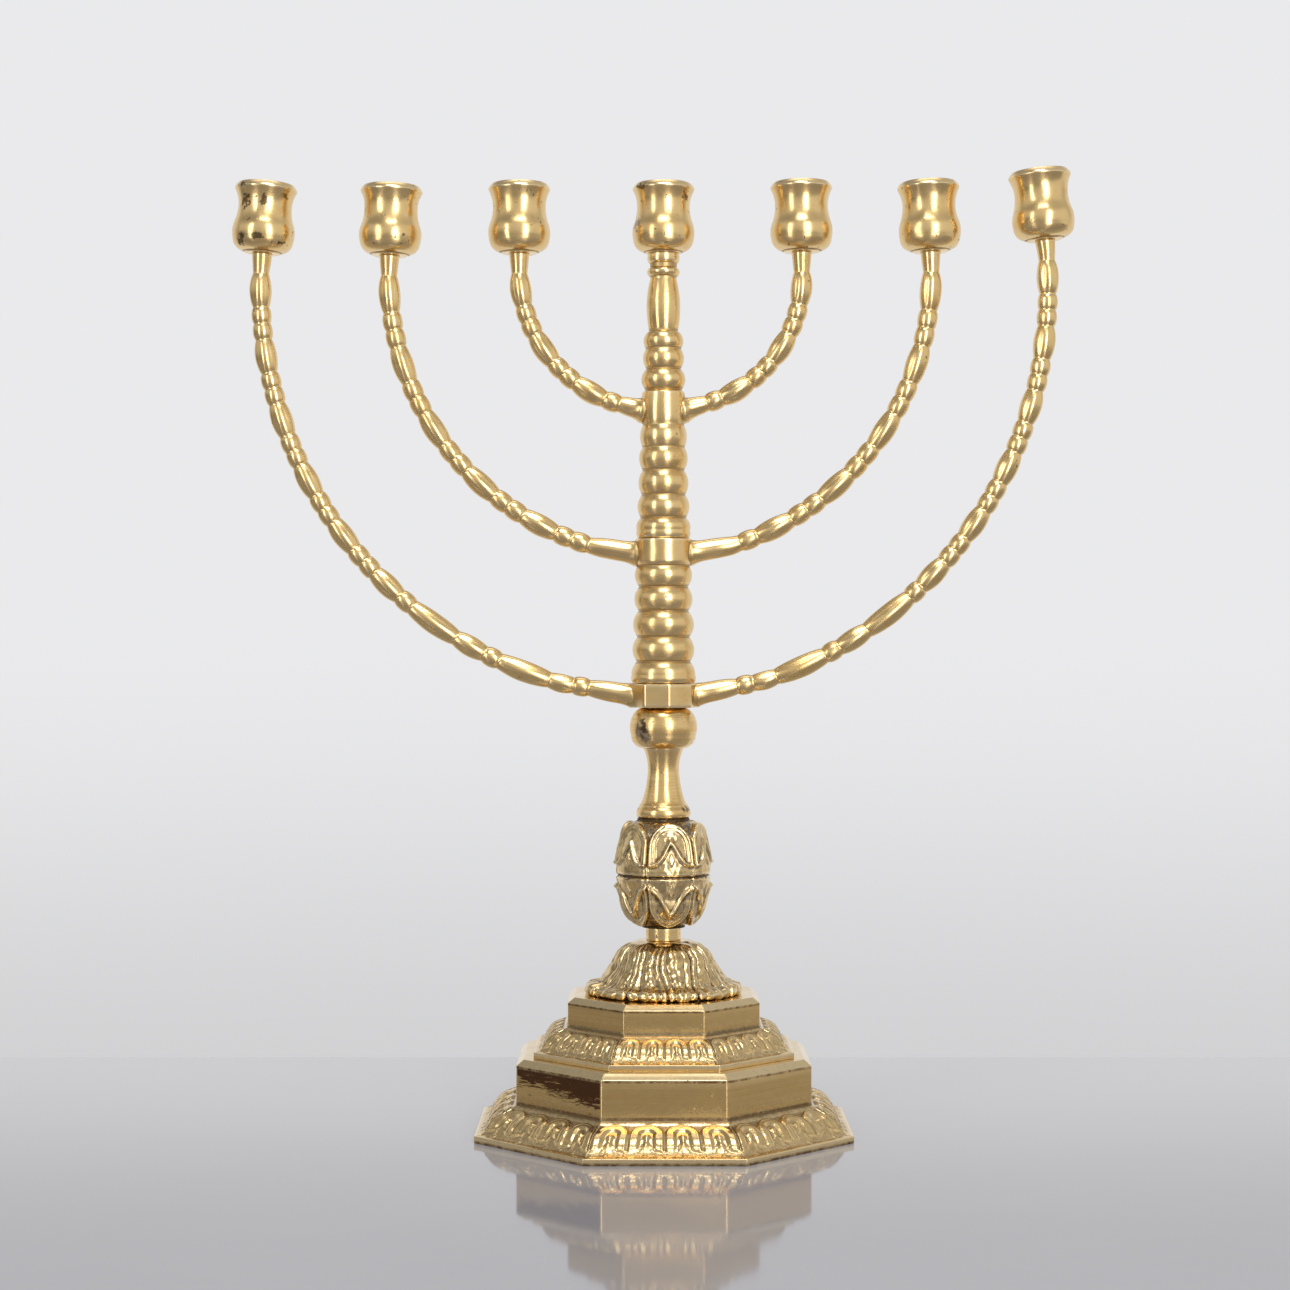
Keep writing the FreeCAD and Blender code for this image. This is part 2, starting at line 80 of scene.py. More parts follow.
# ---- the base, the dome and the knop ---------------------------------------------------
BORE_R = 3.09
TAPPED_R = 3.05
TAPPED_TOP = 263.5
SIDES = 8
HALF_SIDE = math.tan(math.pi / SIDES)
TIER_BORE_R = 4.2
# A tier is octagonal outside this radius. Its mesh has columns close to each upright edge, at
# these distances from it, in shares of the plinth's edge radius.
ROUND_WITHIN = 6.0
SKIRT_EDGE_R = 0.45
EDGE_COLUMNS = np.array([0.0, 0.05, 0.12, 0.2, 0.3, 0.42, 0.6])

# A skirt's lappet: widths are shares of its pitch, heights shares of the way up the slope.
LAPPETS_PER_SIDE = 4
ARCH_HALF, HOLLOW_HALF, ARCH_SPRING = 0.465, 0.216, 0.66
SWAG_FOOT, SWAG_RISE, SWAG_HALF = 0.19, 0.27, 0.19
STALK_HALF, BULB_AT = 0.04, 0.58
# Its relief in millimetres, where the pitch is 14.3.
RELIEF_PITCH = 14.3
PANEL_RISE, RIM_RISE, LINE_RISE, STALK_RISE, CORD_RISE = 0.45, 0.65, 0.15, 0.4, 0.5
HOLLOW_DEPTH, GROUND_DEPTH, FOOT_DEPTH = 0.45, 0.5, 0.2

DOME_LEAVES = 12
RIDGES_PER_LEAF = 2
DOME_RIDGE_RISE, DOME_VEIN_RISE, DOME_SEAM_DEPTH = 0.6, 0.22, 0.7
DOME_TIP_RISE, DOME_TIP_SEAM_DEPTH = 0.4, 0.6

KNOP_LAPPETS = 6
KNOP_TURN = math.radians(9.5)
KNOP_MEAN_R = 17.5
KNOP_RIM_RISE, KNOP_OGEE_RISE, KNOP_LINE_RISE, KNOP_SPROUT_RISE = 0.85, 0.9, 0.2, 0.5
KNOP_GROUND_DEPTH, KNOP_DISH_DEPTH = 0.8, 0.55

# ---- arms ------------------------------------------------------------------------------
NECK_R = 3.25
LOBES = 6
GROOVE_DEPTH = 0.06
GROOVE_SHARPNESS = 1.2
TIP_R = 4.3
TIP_END_R = 3.4
TIP_LENGTH = 8.5
FLARE_REACH = 2.2
ARM_SEGMENTS = 72
ARM_STEP = 0.55
HUB_TURN = math.radians(13.0)
STEM_SEGMENTS = 160

# Beads as (length, radius at the crest); the lengths stretch alike to fill an arm. Those
# shorter than BALL_LIMIT are balls, and the others are olives.
BALL_LIMIT = 8.0
OLIVE = (14.0, 4.8)
BEAD = (6.4, 4.3)
MEDIUM_BEAD = (10.0, 4.2)
SHORT_OLIVE = (13.5, 4.6)
LONG_OLIVE = (22.0, 4.8)
HUB_OLIVE = (20.0, 4.6)
HUB_STUB = (12.0, 4.1)
TRIPLET = [OLIVE, BEAD, BEAD]
OUTER_BEADS = TRIPLET * 5 + [
    OLIVE, BEAD, LONG_OLIVE, SHORT_OLIVE, BEAD, LONG_OLIVE, MEDIUM_BEAD, BEAD, HUB_OLIVE,
]
MIDDLE_LEFT_BEADS = TRIPLET * 5 + [HUB_OLIVE]
MIDDLE_RIGHT_BEADS = TRIPLET * 4 + [OLIVE, BEAD, HUB_OLIVE]
INNER_BEADS = TRIPLET * 2 + [OLIVE, BEAD, HUB_STUB]

# An arm runs from its cup as an arc through the middle point to the knee, and from there
# straight into its hub at the root. Points are (x, z). Its tip comes from the frame.
ARMS = {
    "outer_left": {
        "middle": (-133.3, 247.8), "knee": (-43.5, 188.2), "root": (-11.0, 182.8),
        "beads": OUTER_BEADS, "hub_r": 14.5, "flare": 0.5,
    },
    "middle_left": {
        "middle": (-94.8, 292.4), "knee": (-30.5, 246.3), "root": (-9.5, 242.8),
        "beads": MIDDLE_LEFT_BEADS, "hub_r": 12.0, "flare": 0.9,
    },
    "inner_left": {
        "middle": (-48.2, 326.2), "knee": (-19.5, 306.4), "root": (-7.0, 303.4),
        "beads": INNER_BEADS, "hub_r": 9.2, "flare": 1.6,
    },
    "inner_right": {
        "middle": (47.4, 326.6), "knee": (19.5, 307.0), "root": (7.0, 303.4),
        "beads": INNER_BEADS, "hub_r": 9.2, "flare": 1.6,
    },
    "middle_right": {
        "middle": (92.0, 293.0), "knee": (29.0, 246.4), "root": (9.5, 243.2),
        "beads": MIDDLE_RIGHT_BEADS, "hub_r": 12.0, "flare": 0.9,
    },
    "outer_right": {
        "middle": (126.8, 249.1), "knee": (42.5, 189.2), "root": (11.0, 182.8),
        "beads": OUTER_BEADS, "hub_r": 14.5, "flare": 0.5,
    },
}

# ---- cups ------------------------------------------------------------------------------
CUP_HEIGHT = 29.4
CANDLE_R = 10.0
CUP_FLOOR = 7.5
SCREW_SEAT = 4.5
SCREW_SEAT_R = 4.0
SCREW_HOLE_R = 2.05
SCREW_HOLE_DEPTH = 10.5


# ---- numbers on arrays -----------------------------------------------------------------


def step_up(low, high, value):
    """0 up to low, 1 from high on, and smooth between them; low may be the greater one."""
    share = np.clip((value - low) / (high - low), 0.0, 1.0)
    return share * share * (3.0 - 2.0 * share)


def ridge(distance, width):
    """A rounded ridge: 1 on the line, falling away within about a width of it."""
    return np.exp(-(distance / width) ** 2)


def ripple(points, wavelength, seed, waves=9):
    """Smooth unevenness of about -1 to 1 over points of (x, y, z), from a few seeded waves."""
    rng = np.random.default_rng(seed)
    total = np.zeros(points.shape[:-1])
    for _ in range(waves):
        direction = rng.normal(size=3)
        direction *= 2 * math.pi / (wavelength * rng.uniform(0.7, 1.6) * np.linalg.norm(direction))
        total += np.sin(points @ direction + rng.uniform(0, 2 * math.pi))
    return total / math.sqrt(waves)


# ---- outlines --------------------------------------------------------------------------


def arc_points(start, middle, end, step):
    """Points along the arc from start through middle to end, without the start."""
    (ax, ay), (bx, by), (cx, cy) = start, middle, end
    twice = 2 * (ax * (by - cy) + bx * (cy - ay) + cx * (ay - by))
    a2, b2, c2 = ax * ax + ay * ay, bx * bx + by * by, cx * cx + cy * cy
    ox = (a2 * (by - cy) + b2 * (cy - ay) + c2 * (ay - by)) / twice
    oy = (a2 * (cx - bx) + b2 * (ax - cx) + c2 * (bx - ax)) / twice
    first, through, last = (math.atan2(y - oy, x - ox) for x, y in (start, middle, end))
    turn = (last - first) % (2 * math.pi)
    if (through - first) % (2 * math.pi) > turn:
        turn -= 2 * math.pi
    radius = math.hypot(ax - ox, ay - oy)
    count = max(2, round(abs(turn) * radius / step))
    return [
        (ox + radius * math.cos(first + turn * i / count), oy + radius * math.sin(first + turn * i / count))
        for i in range(1, count + 1)
    ]


def trace(outline, step):
    """Evenly spaced points along an outline: (r, z) draws a line, (r, z, r, z) an arc."""
    points = [outline[0]]
    for move in outline[1:]:
        here, there = points[-1], move[-2:]
        if len(move) == 4:
            points += arc_points(here, move[:2], there, step)
        else:
            count = max(1, round(math.dist(here, there) / step))
            points += [
                (here[0] + (there[0] - here[0]) * i / count, here[1] + (there[1] - here[1]) * i / count)
                for i in range(1, count + 1)
            ]
    return points


def soft_ring(outline, inside, rounding, spacing, inner_spacing, fine=None):
    """A closed ring of (r, z) round a wall's section, with its corners softened.

    The outline is the outer surface, from bottom to top, and the inside is the way back down.
    Points are a spacing apart on straight stretches, and closer where the ring turns. fine is
    (low z, high z, spacing) for a stretch of the outer surface that carries relief.
    """
    step = 0.1
    outer = trace(outline, step)
    inner = trace([outline[-1][-2:]] + inside + [outline[0]], step)[1:-1]
    ring = np.array(outer + inner)
    for _ in range(round(2 * (rounding / step) ** 2)):
        ring = (np.roll(ring, 1, 0) + 2 * ring + np.roll(ring, -1, 0)) / 4
    kept, turned, gone = [0], 0.0, 0.0
    for i in range(1, len(ring)):
        before, after = ring[i] - ring[i - 1], ring[(i + 1) % len(ring)] - ring[i]
        turned += abs(math.atan2(before[0] * after[1] - before[1] * after[0], before @ after))
        gone += math.hypot(*before)
        limit = spacing if i < len(outer) else inner_spacing
        if fine and i < len(outer) and fine[0] <= ring[i][1] <= fine[1]:
            limit = fine[2]
        if gone >= limit or turned > math.radians(7):
            kept.append(i)
            turned, gone = 0.0, 0.0
    return ring[kept], np.array([i < len(outer) for i in kept])


def ring_normals(ring):
    """The outward direction at each point of a closed ring that runs up its outer side."""
    along = np.roll(ring, -1, 0) - np.roll(ring, 1, 0)
    along /= np.linalg.norm(along, axis=1)[:, None]
    return np.stack([along[:, 1], -along[:, 0]], 1)


# ---- meshes ----------------------------------------------------------------------------


def add_object(name, data):
    thing = bpy.data.objects.new(name, data)
    bpy.context.scene.collection.objects.link(thing)
    return thing


def mesh_object(name, grid, closed=True):
    """A closed mesh from a grid of points in millimetres.

    The grid's columns close on themselves. If its rows don't, it is capped at both ends.
    """
    rows, columns = grid.shape[:2]
    index = np.arange(rows * columns).reshape(rows, columns)
    here = index if closed else index[:-1]
    above = np.roll(index, -1, 0) if closed else index[1:]
    quads = np.stack([here, np.roll(here, -1, 1), np.roll(above, -1, 1), above], -1)
    faces = quads.reshape(-1, 4).tolist()
    if not closed:
        faces += [index[0][::-1].tolist(), index[-1].tolist()]
    mesh = bpy.data.meshes.new(name)
    mesh.from_pydata((grid.reshape(-1, 3) * MM).tolist(), [], faces)
    mesh.update()
    return add_object(name, mesh)


def vertex_array(mesh, attribute="co"):
    values = np.empty(len(mesh.vertices) * 3)
    mesh.vertices.foreach_get(attribute, values)
    return values.reshape(-1, 3)


def note_cavities(piece, blur):
    """Stores how hollow the surface is at each vertex, as "cavity": 1 in a groove, -1 on an edge."""
    mesh = piece.data
    co, normals = vertex_array(mesh), vertex_array(mesh, "normal")
    ends = np.empty(len(mesh.edges) * 2, int)
    mesh.edges.foreach_get("vertices", ends)
    first, second = ends.reshape(-1, 2).T
    both, other = np.concatenate([first, second]), np.concatenate([second, first])
    count = np.bincount(both, minlength=len(co))
    apart = co[other] - co[both]
    length2 = np.maximum((apart ** 2).sum(1), 1e-12)
    bend = np.bincount(both, (apart * normals[both]).sum(1) / length2, len(co)) / count
    cavity = bend * MM
    for _ in range(blur):
        cavity = (cavity + np.bincount(both, cavity[other], len(co)) / count) / 2
    store(piece, "cavity", np.clip(cavity * 3.0, -1, 1))


def unwind(grid):
    """The angle round the stem, the radius and the height of each point in a grid."""
    x, y, z = grid[..., 0], grid[..., 1], grid[..., 2]
    return np.arctan2(x, -y) % (2 * math.pi), np.hypot(x, y), z


def store(piece, name, values):
    """Stores a number for each vertex of a piece, for its material."""
    attribute = piece.data.attributes.new(name, "FLOAT", "POINT")
    attribute.data.foreach_set("value", values.reshape(-1).astype(np.float32))


def finish_piece(piece, body, material, nodes, blur=8):
    """Smooths and paints a piece, and fixes it to its body in place of its CAD nodes."""
    piece.data.shade_smooth()
    note_cavities(piece, blur)
    piece.data.materials.clear()
    piece.data.materials.append(material)
    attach(piece, body)
    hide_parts(*nodes)


def union(piece, others):
    """Welds other closed pieces into a piece."""
    for other in others:
        weld = piece.modifiers.new("weld", "BOOLEAN")
        weld.operation = "UNION"
        weld.solver = "MANIFOLD"
        weld.object = other
    evaluated = piece.evaluated_get(bpy.context.evaluated_depsgraph_get())
    mesh = bpy.data.meshes.new_from_object(evaluated)
    piece.modifiers.clear()
    piece.data = mesh
    for other in others:
        bpy.data.objects.remove(other)


def revolved(ring, outer, segments, uneven, wavelength, seed, relief=None):
    """The grid of a ring turned about the stem, raised along its normals by a relief.

    The relief is a function of (angle, r, z) arrays, in millimetres. The outer surface is
    also slightly uneven, as hand-finished metal is.
    """
    angle = np.arange(segments)[None, :] * (2 * math.pi / segments)
    r, z = ring[:, 0][:, None], ring[:, 1][:, None]
    normal = ring_normals(ring)
    flat = np.stack([r * np.sin(angle), -r * np.cos(angle), z + 0 * angle], -1)
    raised = uneven * ripple(flat, wavelength, seed)
    if relief:
        raised += relief(angle, r, z)
    raised *= outer[:, None]
    r = r + raised * normal[:, :1]
    z = z + raised * normal[:, 1:]
    return np.stack([r * np.sin(angle), -r * np.cos(angle), z], -1)


# ---- base ------------------------------------------------------------------------------


def lappet_relief(u, v, pitch, length):
    """A skirt's relief and its bare ground: u is across one lappet, v up the slope.

    Between its swag and its arch, a lappet has a raised rim, a swelling panel, and a hollow
    with a stalk in it. Under the swag, it has a dished foot.
    """
    unit = pitch / RELIEF_PITCH
    across = np.abs(u)
    spring = ARCH_SPRING * length

    def arch(half):
        """Distance outside an upright arch."""
        return (np.where(v > spring, np.hypot(u, v - spring), across) - half) / unit

    outside = arch(ARCH_HALF * pitch)
    hollow = arch(HOLLOW_HALF * pitch)
    swag_half = SWAG_HALF * pitch
    swag = length * (SWAG_FOOT + SWAG_RISE * np.exp(-(across / swag_half) ** 1.2))
    swag_slope = np.hypot(1.0, 0.25 * length / swag_half * np.exp(-across / (0.16 * pitch)))
    from_swag = (v - swag) / swag_slope / unit
    over = step_up(-0.3, 0.3, from_swag)
    ground = step_up(-0.2, 0.2, outside)
    height = over * (PANEL_RISE * ridge(outside + 2.1, 1.2) - GROUND_DEPTH * ground)
    height += over * (RIM_RISE * ridge(outside + 0.5, 0.45) + LINE_RISE * ridge(hollow - 0.3, 0.35))
    height -= over * HOLLOW_DEPTH * step_up(0.15, -0.4, hollow)
    bulb = 0.05 * pitch * ridge(v - BULB_AT * length, 0.06 * length)
    stalk_half = STALK_HALF * pitch + bulb + 0.1 * pitch * step_up(0.42 * length, 0.24 * length, v)
    stalk = step_up(0.3, -0.5, (across - stalk_half) / unit) * step_up(0.67 * length, 0.61 * length, v)
    stalk *= step_up(0.1 * length, 0.3 * length, v)
    height = height * (1 - stalk) + STALK_RISE * stalk
    height += CORD_RISE * ridge(from_swag, 0.36) * step_up(0.03 * pitch, 0.12 * pitch, across)
    # The foot under the swag carries a small fan, a bead, and a thin line to the lip.
    under = 1 - over
    fan = np.cos(across * 2 * math.pi / (0.15 * pitch)) * ridge(u, 0.24 * pitch)
    height += under * (0.12 * ridge(u, 0.14 * pitch) + 0.08 * fan - FOOT_DEPTH)
    height += 0.3 * ridge(np.hypot(u, v - 0.07 * length), 0.065 * pitch)
    height += 0.3 * under * ridge((across - 0.5 * pitch) / unit, 0.35)
    return height * unit, np.maximum(ground * over, 0.5 * under)


def tier_grid(ring, outer, skirt, lappet_length, plinth_edge_r, columns, seed):
    """The grid of an octagonal tier, and how bare each of its points is between the lappets.

    The ring is the tier's section as (half width, z), and skirt is the skirt's (foot z, top z).
    The upright edges are crisp on the skirt and lip, and rounder on the plinth above.
    """
    spread = np.linspace(-1, 1, columns)
    widest = ring[:, 0].max() * HALF_SIDE
    near_edge = 1 - EDGE_COLUMNS * plinth_edge_r / widest
    inner = spread[np.abs(spread) < near_edge.min() - 0.5 / widest]
    share = np.unique(np.concatenate([-near_edge, inner, near_edge]))[:-1][None, :]
    half, z = ring[:, 0][:, None], ring[:, 1][:, None]
    normal = ring_normals(ring)
    foot, top = skirt
    edge_r = SKIRT_EDGE_R + (plinth_edge_r - SKIRT_EDGE_R) * step_up(top, top + 1.2, z)
    slope_way = np.concatenate([[0.0], np.cumsum(np.linalg.norm(np.diff(ring, axis=0), axis=1))])
    foot_way = np.interp(foot, ring[outer, 1], slope_way[outer])
    top_way = np.interp(top, ring[outer, 1], slope_way[outer])
    v = (slope_way - foot_way)[:, None] * lappet_length / (top_way - foot_way)
    on_skirt = outer[:, None] & (v > 0) & (v < lappet_length)
    pitch = 2 * half * HALF_SIDE / LAPPETS_PER_SIDE
    cell = (share + 1) / 2 * LAPPETS_PER_SIDE
    u = (cell - np.floor(cell) - 0.5) * pitch
    fade = step_up(1.0, 0.98, np.abs(share)) * step_up(0, 0.8, v)
    fade = fade * step_up(lappet_length, lappet_length - 0.5, v)
    relief, ground = (on_skirt * fade * part for part in lappet_relief(u, v, pitch, lappet_length))

    def on_side(turn, w, height):
        """Points at a half width and a height, on the side that is turned by an angle."""
        across = share * w * HALF_SIDE
        return np.stack([across * math.cos(turn) + w * math.sin(turn),
                         across * math.sin(turn) - w * math.cos(turn), height + 0 * across], -1)

    sides = []
    for side in range(SIDES):
        turn = side * 2 * math.pi / SIDES
        flat = on_side(turn, half, z)
        raised = relief + outer[:, None] * 0.012 * ripple(flat, 16.0, seed)
        raised += on_skirt * 0.04 * ripple(flat, 3.0, seed + 1) * fade
        w = half + raised * normal[:, :1]
        from_edge = (1 - np.abs(share)) * w * HALF_SIDE
        inward = np.maximum(edge_r * HALF_SIDE - from_edge, 0.0)
        w = w - (edge_r - np.sqrt(edge_r ** 2 - inward ** 2)) * (half > ROUND_WITHIN)
        sides.append(on_side(turn, w, z + raised * normal[:, 1:]))
    return np.concatenate(sides, 1), np.tile(ground, SIDES)


def make_base_lower(material):
    outline = [
        (78.0, 0.0), (78.0, 2.8), (76.9, 3.0), (73.6, 4.6, 71.8, 6.8), (69.8, 9.2, 67.5, 10.8),
        (64.2, 12.4), (61.8, 13.8), (61.0, 14.4), (61.0, 30.6), (58.1, LOWER_TIER_TOP),
    ]
    inside = [
        (TIER_BORE_R, LOWER_TIER_TOP), (TIER_BORE_R, 30.0), (55.3, 30.0), (58.0, 28.0), (58.0, 11.5),
        (62.0, 6.0), (73.5, 1.0), (73.5, 0.0),
    ]
    ring, outer = soft_ring(outline, inside, rounding=0.2, spacing=4.0, inner_spacing=14.0,
                            fine=(2.9, 13.4, 0.4))
    grid, ground = tier_grid(ring, outer, skirt=(3.1, 13.3), lappet_length=19.5, plinth_edge_r=1.5,
                             columns=98, seed=11)
    piece = mesh_object("lower_tier_cast", grid)
    # The bare ground between the lappets is darkened in the material: painted shade, partly tarnish.
    store(piece, "depth", ground)
    finish_piece(piece, "base", material, ["base_lower"])


def make_base_upper(material):
    low = LOWER_TIER_TOP
    outline = [
        (54.0, low), (54.0, low + 2.5), (53.0, low + 2.7), (50.8, 36.8, 49.4, 38.3),
        (48.1, 40.4, 46.5, 41.9), (43.2, 43.8), (40.7, 44.9), (40.0, 45.4),
        (40.0, 55.3), (37.3, UPPER_TIER_TOP),
    ]
    inside = [
        (TIER_BORE_R, UPPER_TIER_TOP), (TIER_BORE_R, 54.5), (34.5, 54.5), (37.0, 53.0), (37.0, 43.0),
        (40.4, 38.5), (49.5, low + 1.0), (49.5, low),
    ]
    ring, outer = soft_ring(outline, inside, rounding=0.18, spacing=3.4, inner_spacing=11.0,
                            fine=(low + 2.6, 44.6, 0.33))
    grid, ground = tier_grid(ring, outer, skirt=(low + 2.8, 44.5), lappet_length=15.2,
                             plinth_edge_r=1.2, columns=102, seed=12)
    piece = mesh_object("upper_tier_cast", grid)
    # The bare ground between the lappets is darkened in the material: painted shade, partly tarnish.
    store(piece, "depth", ground)
    finish_piece(piece, "base", material, ["base_upper"])


def dome_relief(angle, r, z):
    """Leaves of paired flutes with sharp valleys, ending in blunt tips that curl at the rim."""
    wander = 0.1 * np.sin(3 * angle + z / 5) + 0.07 * np.sin(5 * angle - z / 4 + 1)
    leaf = angle * DOME_LEAVES / (2 * math.pi) + wander
    in_leaf = leaf - np.floor(leaf) - 0.5
    in_ridge = in_leaf * RIDGES_PER_LEAF + 0.5
    strong = 1 + 0.3 * np.sin(5 * angle + 2) + 0.2 * np.sin(9 * angle)
    ridges = np.abs(np.sin(math.pi * in_ridge)) ** 0.7
    veins = np.abs(np.sin(2 * math.pi * in_ridge + 0.3 * np.sin(z))) ** 0.7
    seam = ridge((np.abs(in_leaf) - 0.5) * r * 2 * math.pi / DOME_LEAVES, 0.6)
    body = step_up(79.3, 76.0, z)
    height = DOME_RIDGE_RISE * strong * ridges + DOME_VEIN_RISE * veins - DOME_SEAM_DEPTH * seam - 0.4
    height *= body
    rim = step_up(63.4, 60.8, z)
    blunt = np.sqrt(np.clip(1 - (2 * in_leaf) ** 2, 0, 1))
    height += rim * (DOME_TIP_RISE * blunt * strong + 0.05 * veins - DOME_TIP_SEAM_DEPTH * seam - 0.2)
    return height - 0.35 * ridge(z - 63.6, 0.9) * blunt


def make_leaf_dome(material):
    low = UPPER_TIER_TOP
    outline = [
        (30.9, low), (32.3, low + 0.9), (32.9, low + 2.0, 31.4, low + 3.8), (28.2, 62.2),
        (24.1, 66.8, 20.9, 72.2), (18.9, 75.2, 15.2, 77.9), (12.6, 78.9, 10.0, DOME_TOP),
    ]
    inside = [
        (BORE_R, DOME_TOP), (BORE_R, DOME_TOP - 3.0), (9.0, DOME_TOP - 3.5),
        (14.6, 74.6, 17.4, 71.6), (20.6, 65.6, 25.0, 60.4), (27.5, low),
    ]
    ring, outer = soft_ring(outline, inside, rounding=0.25, spacing=0.42, inner_spacing=4.0)
    outer &= ring[:, 0] > 9.5
    grid = revolved(ring, outer, 576, uneven=0.2, wavelength=4.0, seed=21, relief=dome_relief)
    grid[..., 2] = np.clip(grid[..., 2], low, DOME_TOP)
    piece = mesh_object("leaf_dome_cast", grid)
    # Painted shade: a dark band at the dome's foot, under its bulge; the low relief is painted darker too,
    # partly shade and partly tarnish.
    store(piece, "depth", step_up(low + 1.2, low + 0.4, grid[..., 2]) - dome_relief(*unwind(grid)))
    finish_piece(piece, "base", material, ["leaf_dome"])


# ---- knop ------------------------------------------------------------------------------


def knop_relief(angle, z, foot, spring, arch_half, peak, peak_spread):
    """One half's lappets, seen upright: an arch, an ogee inside it and a sprout in the ogee.

    The heights are distances from the seam between the two halves.
    """
    cell = 2 * math.pi / KNOP_LAPPETS
    u = ((angle - KNOP_TURN + cell / 2) % cell - cell / 2) * KNOP_MEAN_R
    across = np.abs(u)
    arch = np.where(z > spring, np.hypot(u, z - spring), across) - arch_half
    rise = peak - foot
    ogee_z = foot + rise * np.exp(-(across / peak_spread) ** 1.7)
    steep = np.hypot(1.0, rise / peak_spread * 1.1 * ridge(across - peak_spread * 0.7, peak_spread))
    ogee = (z - ogee_z) / steep
    above = step_up(foot - 1.4, foot + 0.8, z)
    inside = step_up(0.2, -0.3, arch)
    ground = step_up(-0.1, 0.45, arch)
    height = above * (KNOP_RIM_RISE * ridge(arch + 0.65, 0.62) - KNOP_GROUND_DEPTH * ground)
    height += above * inside * (KNOP_LINE_RISE * ridge(arch + 2.1, 0.4) + 0.1)
    height -= KNOP_DISH_DEPTH * inside * step_up(0.2, 1.4, ogee) * step_up(-1.5, -3.0, arch)
    height += KNOP_OGEE_RISE * ridge(ogee, 0.5) * inside
    sprout = step_up(0.3, -0.3, across * 2.6 + np.abs(z - foot - 2.6) - 3.0)
    return height + step_up(-0.3, -0.9, ogee) * inside * (KNOP_SPROUT_RISE * sprout - 0.3)


def upper_knop_relief(angle, r, z):
    return knop_relief(angle, z - KNOP_SEAM, foot=4.8, spring=13.4, arch_half=8.7, peak=14.3,
                       peak_spread=3.4)


def lower_knop_relief(angle, r, z):
    return knop_relief(angle, KNOP_SEAM - z, foot=3.6, spring=12.2, arch_half=8.9, peak=15.9,
                       peak_spread=4.6)


def make_knops(material):
    seam_r = 19.3
    lower = [
        (9.3, COLLAR_TOP), (12.3, 87.1), (16.2, 91.6, 18.0, 98.2), (19.5, 103.0, 20.3, 106.6),
        (seam_r, KNOP_SEAM),
    ]
    lower_inside = [
        (16.8, KNOP_SEAM), (15.6, 98.4, 12.4, 91.8), (8.0, COLLAR_TOP + 3.0),
        (BORE_R, COLLAR_TOP + 3.0), (BORE_R, COLLAR_TOP),
    ]
    upper = [
        (seam_r, KNOP_SEAM), (20.3, KNOP_SEAM + 0.9), (20.3, 110.2), (19.2, 117.2, 17.4, 124.4),
        (16.4, 127.4, 13.3, 130.2), (11.2, KNOP_TOP),
    ]
    upper_inside = [
        (BORE_R, KNOP_TOP), (BORE_R, KNOP_TOP - 3.0), (8.0, KNOP_TOP - 3.0),
        (12.6, 125.4, 14.6, 121.6), (16.2, 115.0, 16.8, KNOP_SEAM),
    ]
    for name, outline, inside, relief, node in (
        ("lower_knop_cast", lower, lower_inside, lower_knop_relief, "knop_lower"),
        ("upper_knop_cast", upper, upper_inside, upper_knop_relief, "knop_upper"),
    ):
        ring, outer = soft_ring(outline, inside, rounding=0.22, spacing=0.3, inner_spacing=3.0)
        grid = revolved(ring, outer, 480, uneven=0.05, wavelength=3.2, seed=31, relief=relief)
        piece = mesh_object(name, grid)
        seam = 0.9 * ridge(grid[..., 2] - KNOP_SEAM, 0.5)
        # A darker line along the seam; the low ground is painted darker, partly shade and partly tarnish.
        store(piece, "depth", seam - 0.85 * relief(*unwind(grid)))
        finish_piece(piece, "base", material, [node])


# ---- turned stem pieces ----------------------------------------------------------------


def make_turned_stem(material):
    """The collar, the waisted neck and the ball between the knop and the lowest arms."""
    collar = [(7.2, DOME_TOP), (7.4, DOME_TOP + 0.4), (7.4, COLLAR_TOP)]
    neck = [
        (10.3, KNOP_TOP), (11.3, 132.0), (11.5, 133.9, 10.9, 135.6), (10.4, 136.1), (10.2, 136.9),
        (9.4, 137.6), (8.0, 142.0, 7.05, 147.5), (6.6, 152.6, 8.7, NECK_TOP),
    ]
    ball = [
        (9.7, NECK_TOP), (12.4, 162.6, 13.8, 166.2), (14.25, 170.0, 13.5, 173.6),
        (12.3, 175.9, 9.5, BALL_TOP),
    ]
    for name, outline, node, seed in (
        ("collar_turned", collar, "collar", 41), ("neck_turned", neck, "neck", 42),
        ("ball_turned", ball, "ball_knop", 43),
    ):
        inside = [(BORE_R, outline[-1][-1]), (BORE_R, outline[0][-1])]
        ring, outer = soft_ring(outline, inside, rounding=0.2, spacing=0.6, inner_spacing=4.0)
        grid = revolved(ring, outer & (ring[:, 0] > 5.0), STEM_SEGMENTS, uneven=0.035,
                        wavelength=7.0, seed=seed)
        piece = mesh_object(name, grid)
        finish_piece(piece, "base", material, [node])


# ---- arms ------------------------------------------------------------------------------


def tips():
    """Each cup's seat and axis as (x, z) pairs in millimetres, from the frame's candle mounts."""
    places = {}
    for mount in frame["record"]["mounts"]:
        if mount["name"].startswith("candle_"):
            axis = np.array([mount["axis"][0], mount["axis"][2]])
            middle = np.array([mount["pos_m"][0], mount["pos_m"][2]]) / MM
            seat = middle - axis * (CUP_HEIGHT + CUP_FLOOR) / 2
            places[mount["name"].removeprefix("candle_")] = (seat, axis)
    return places


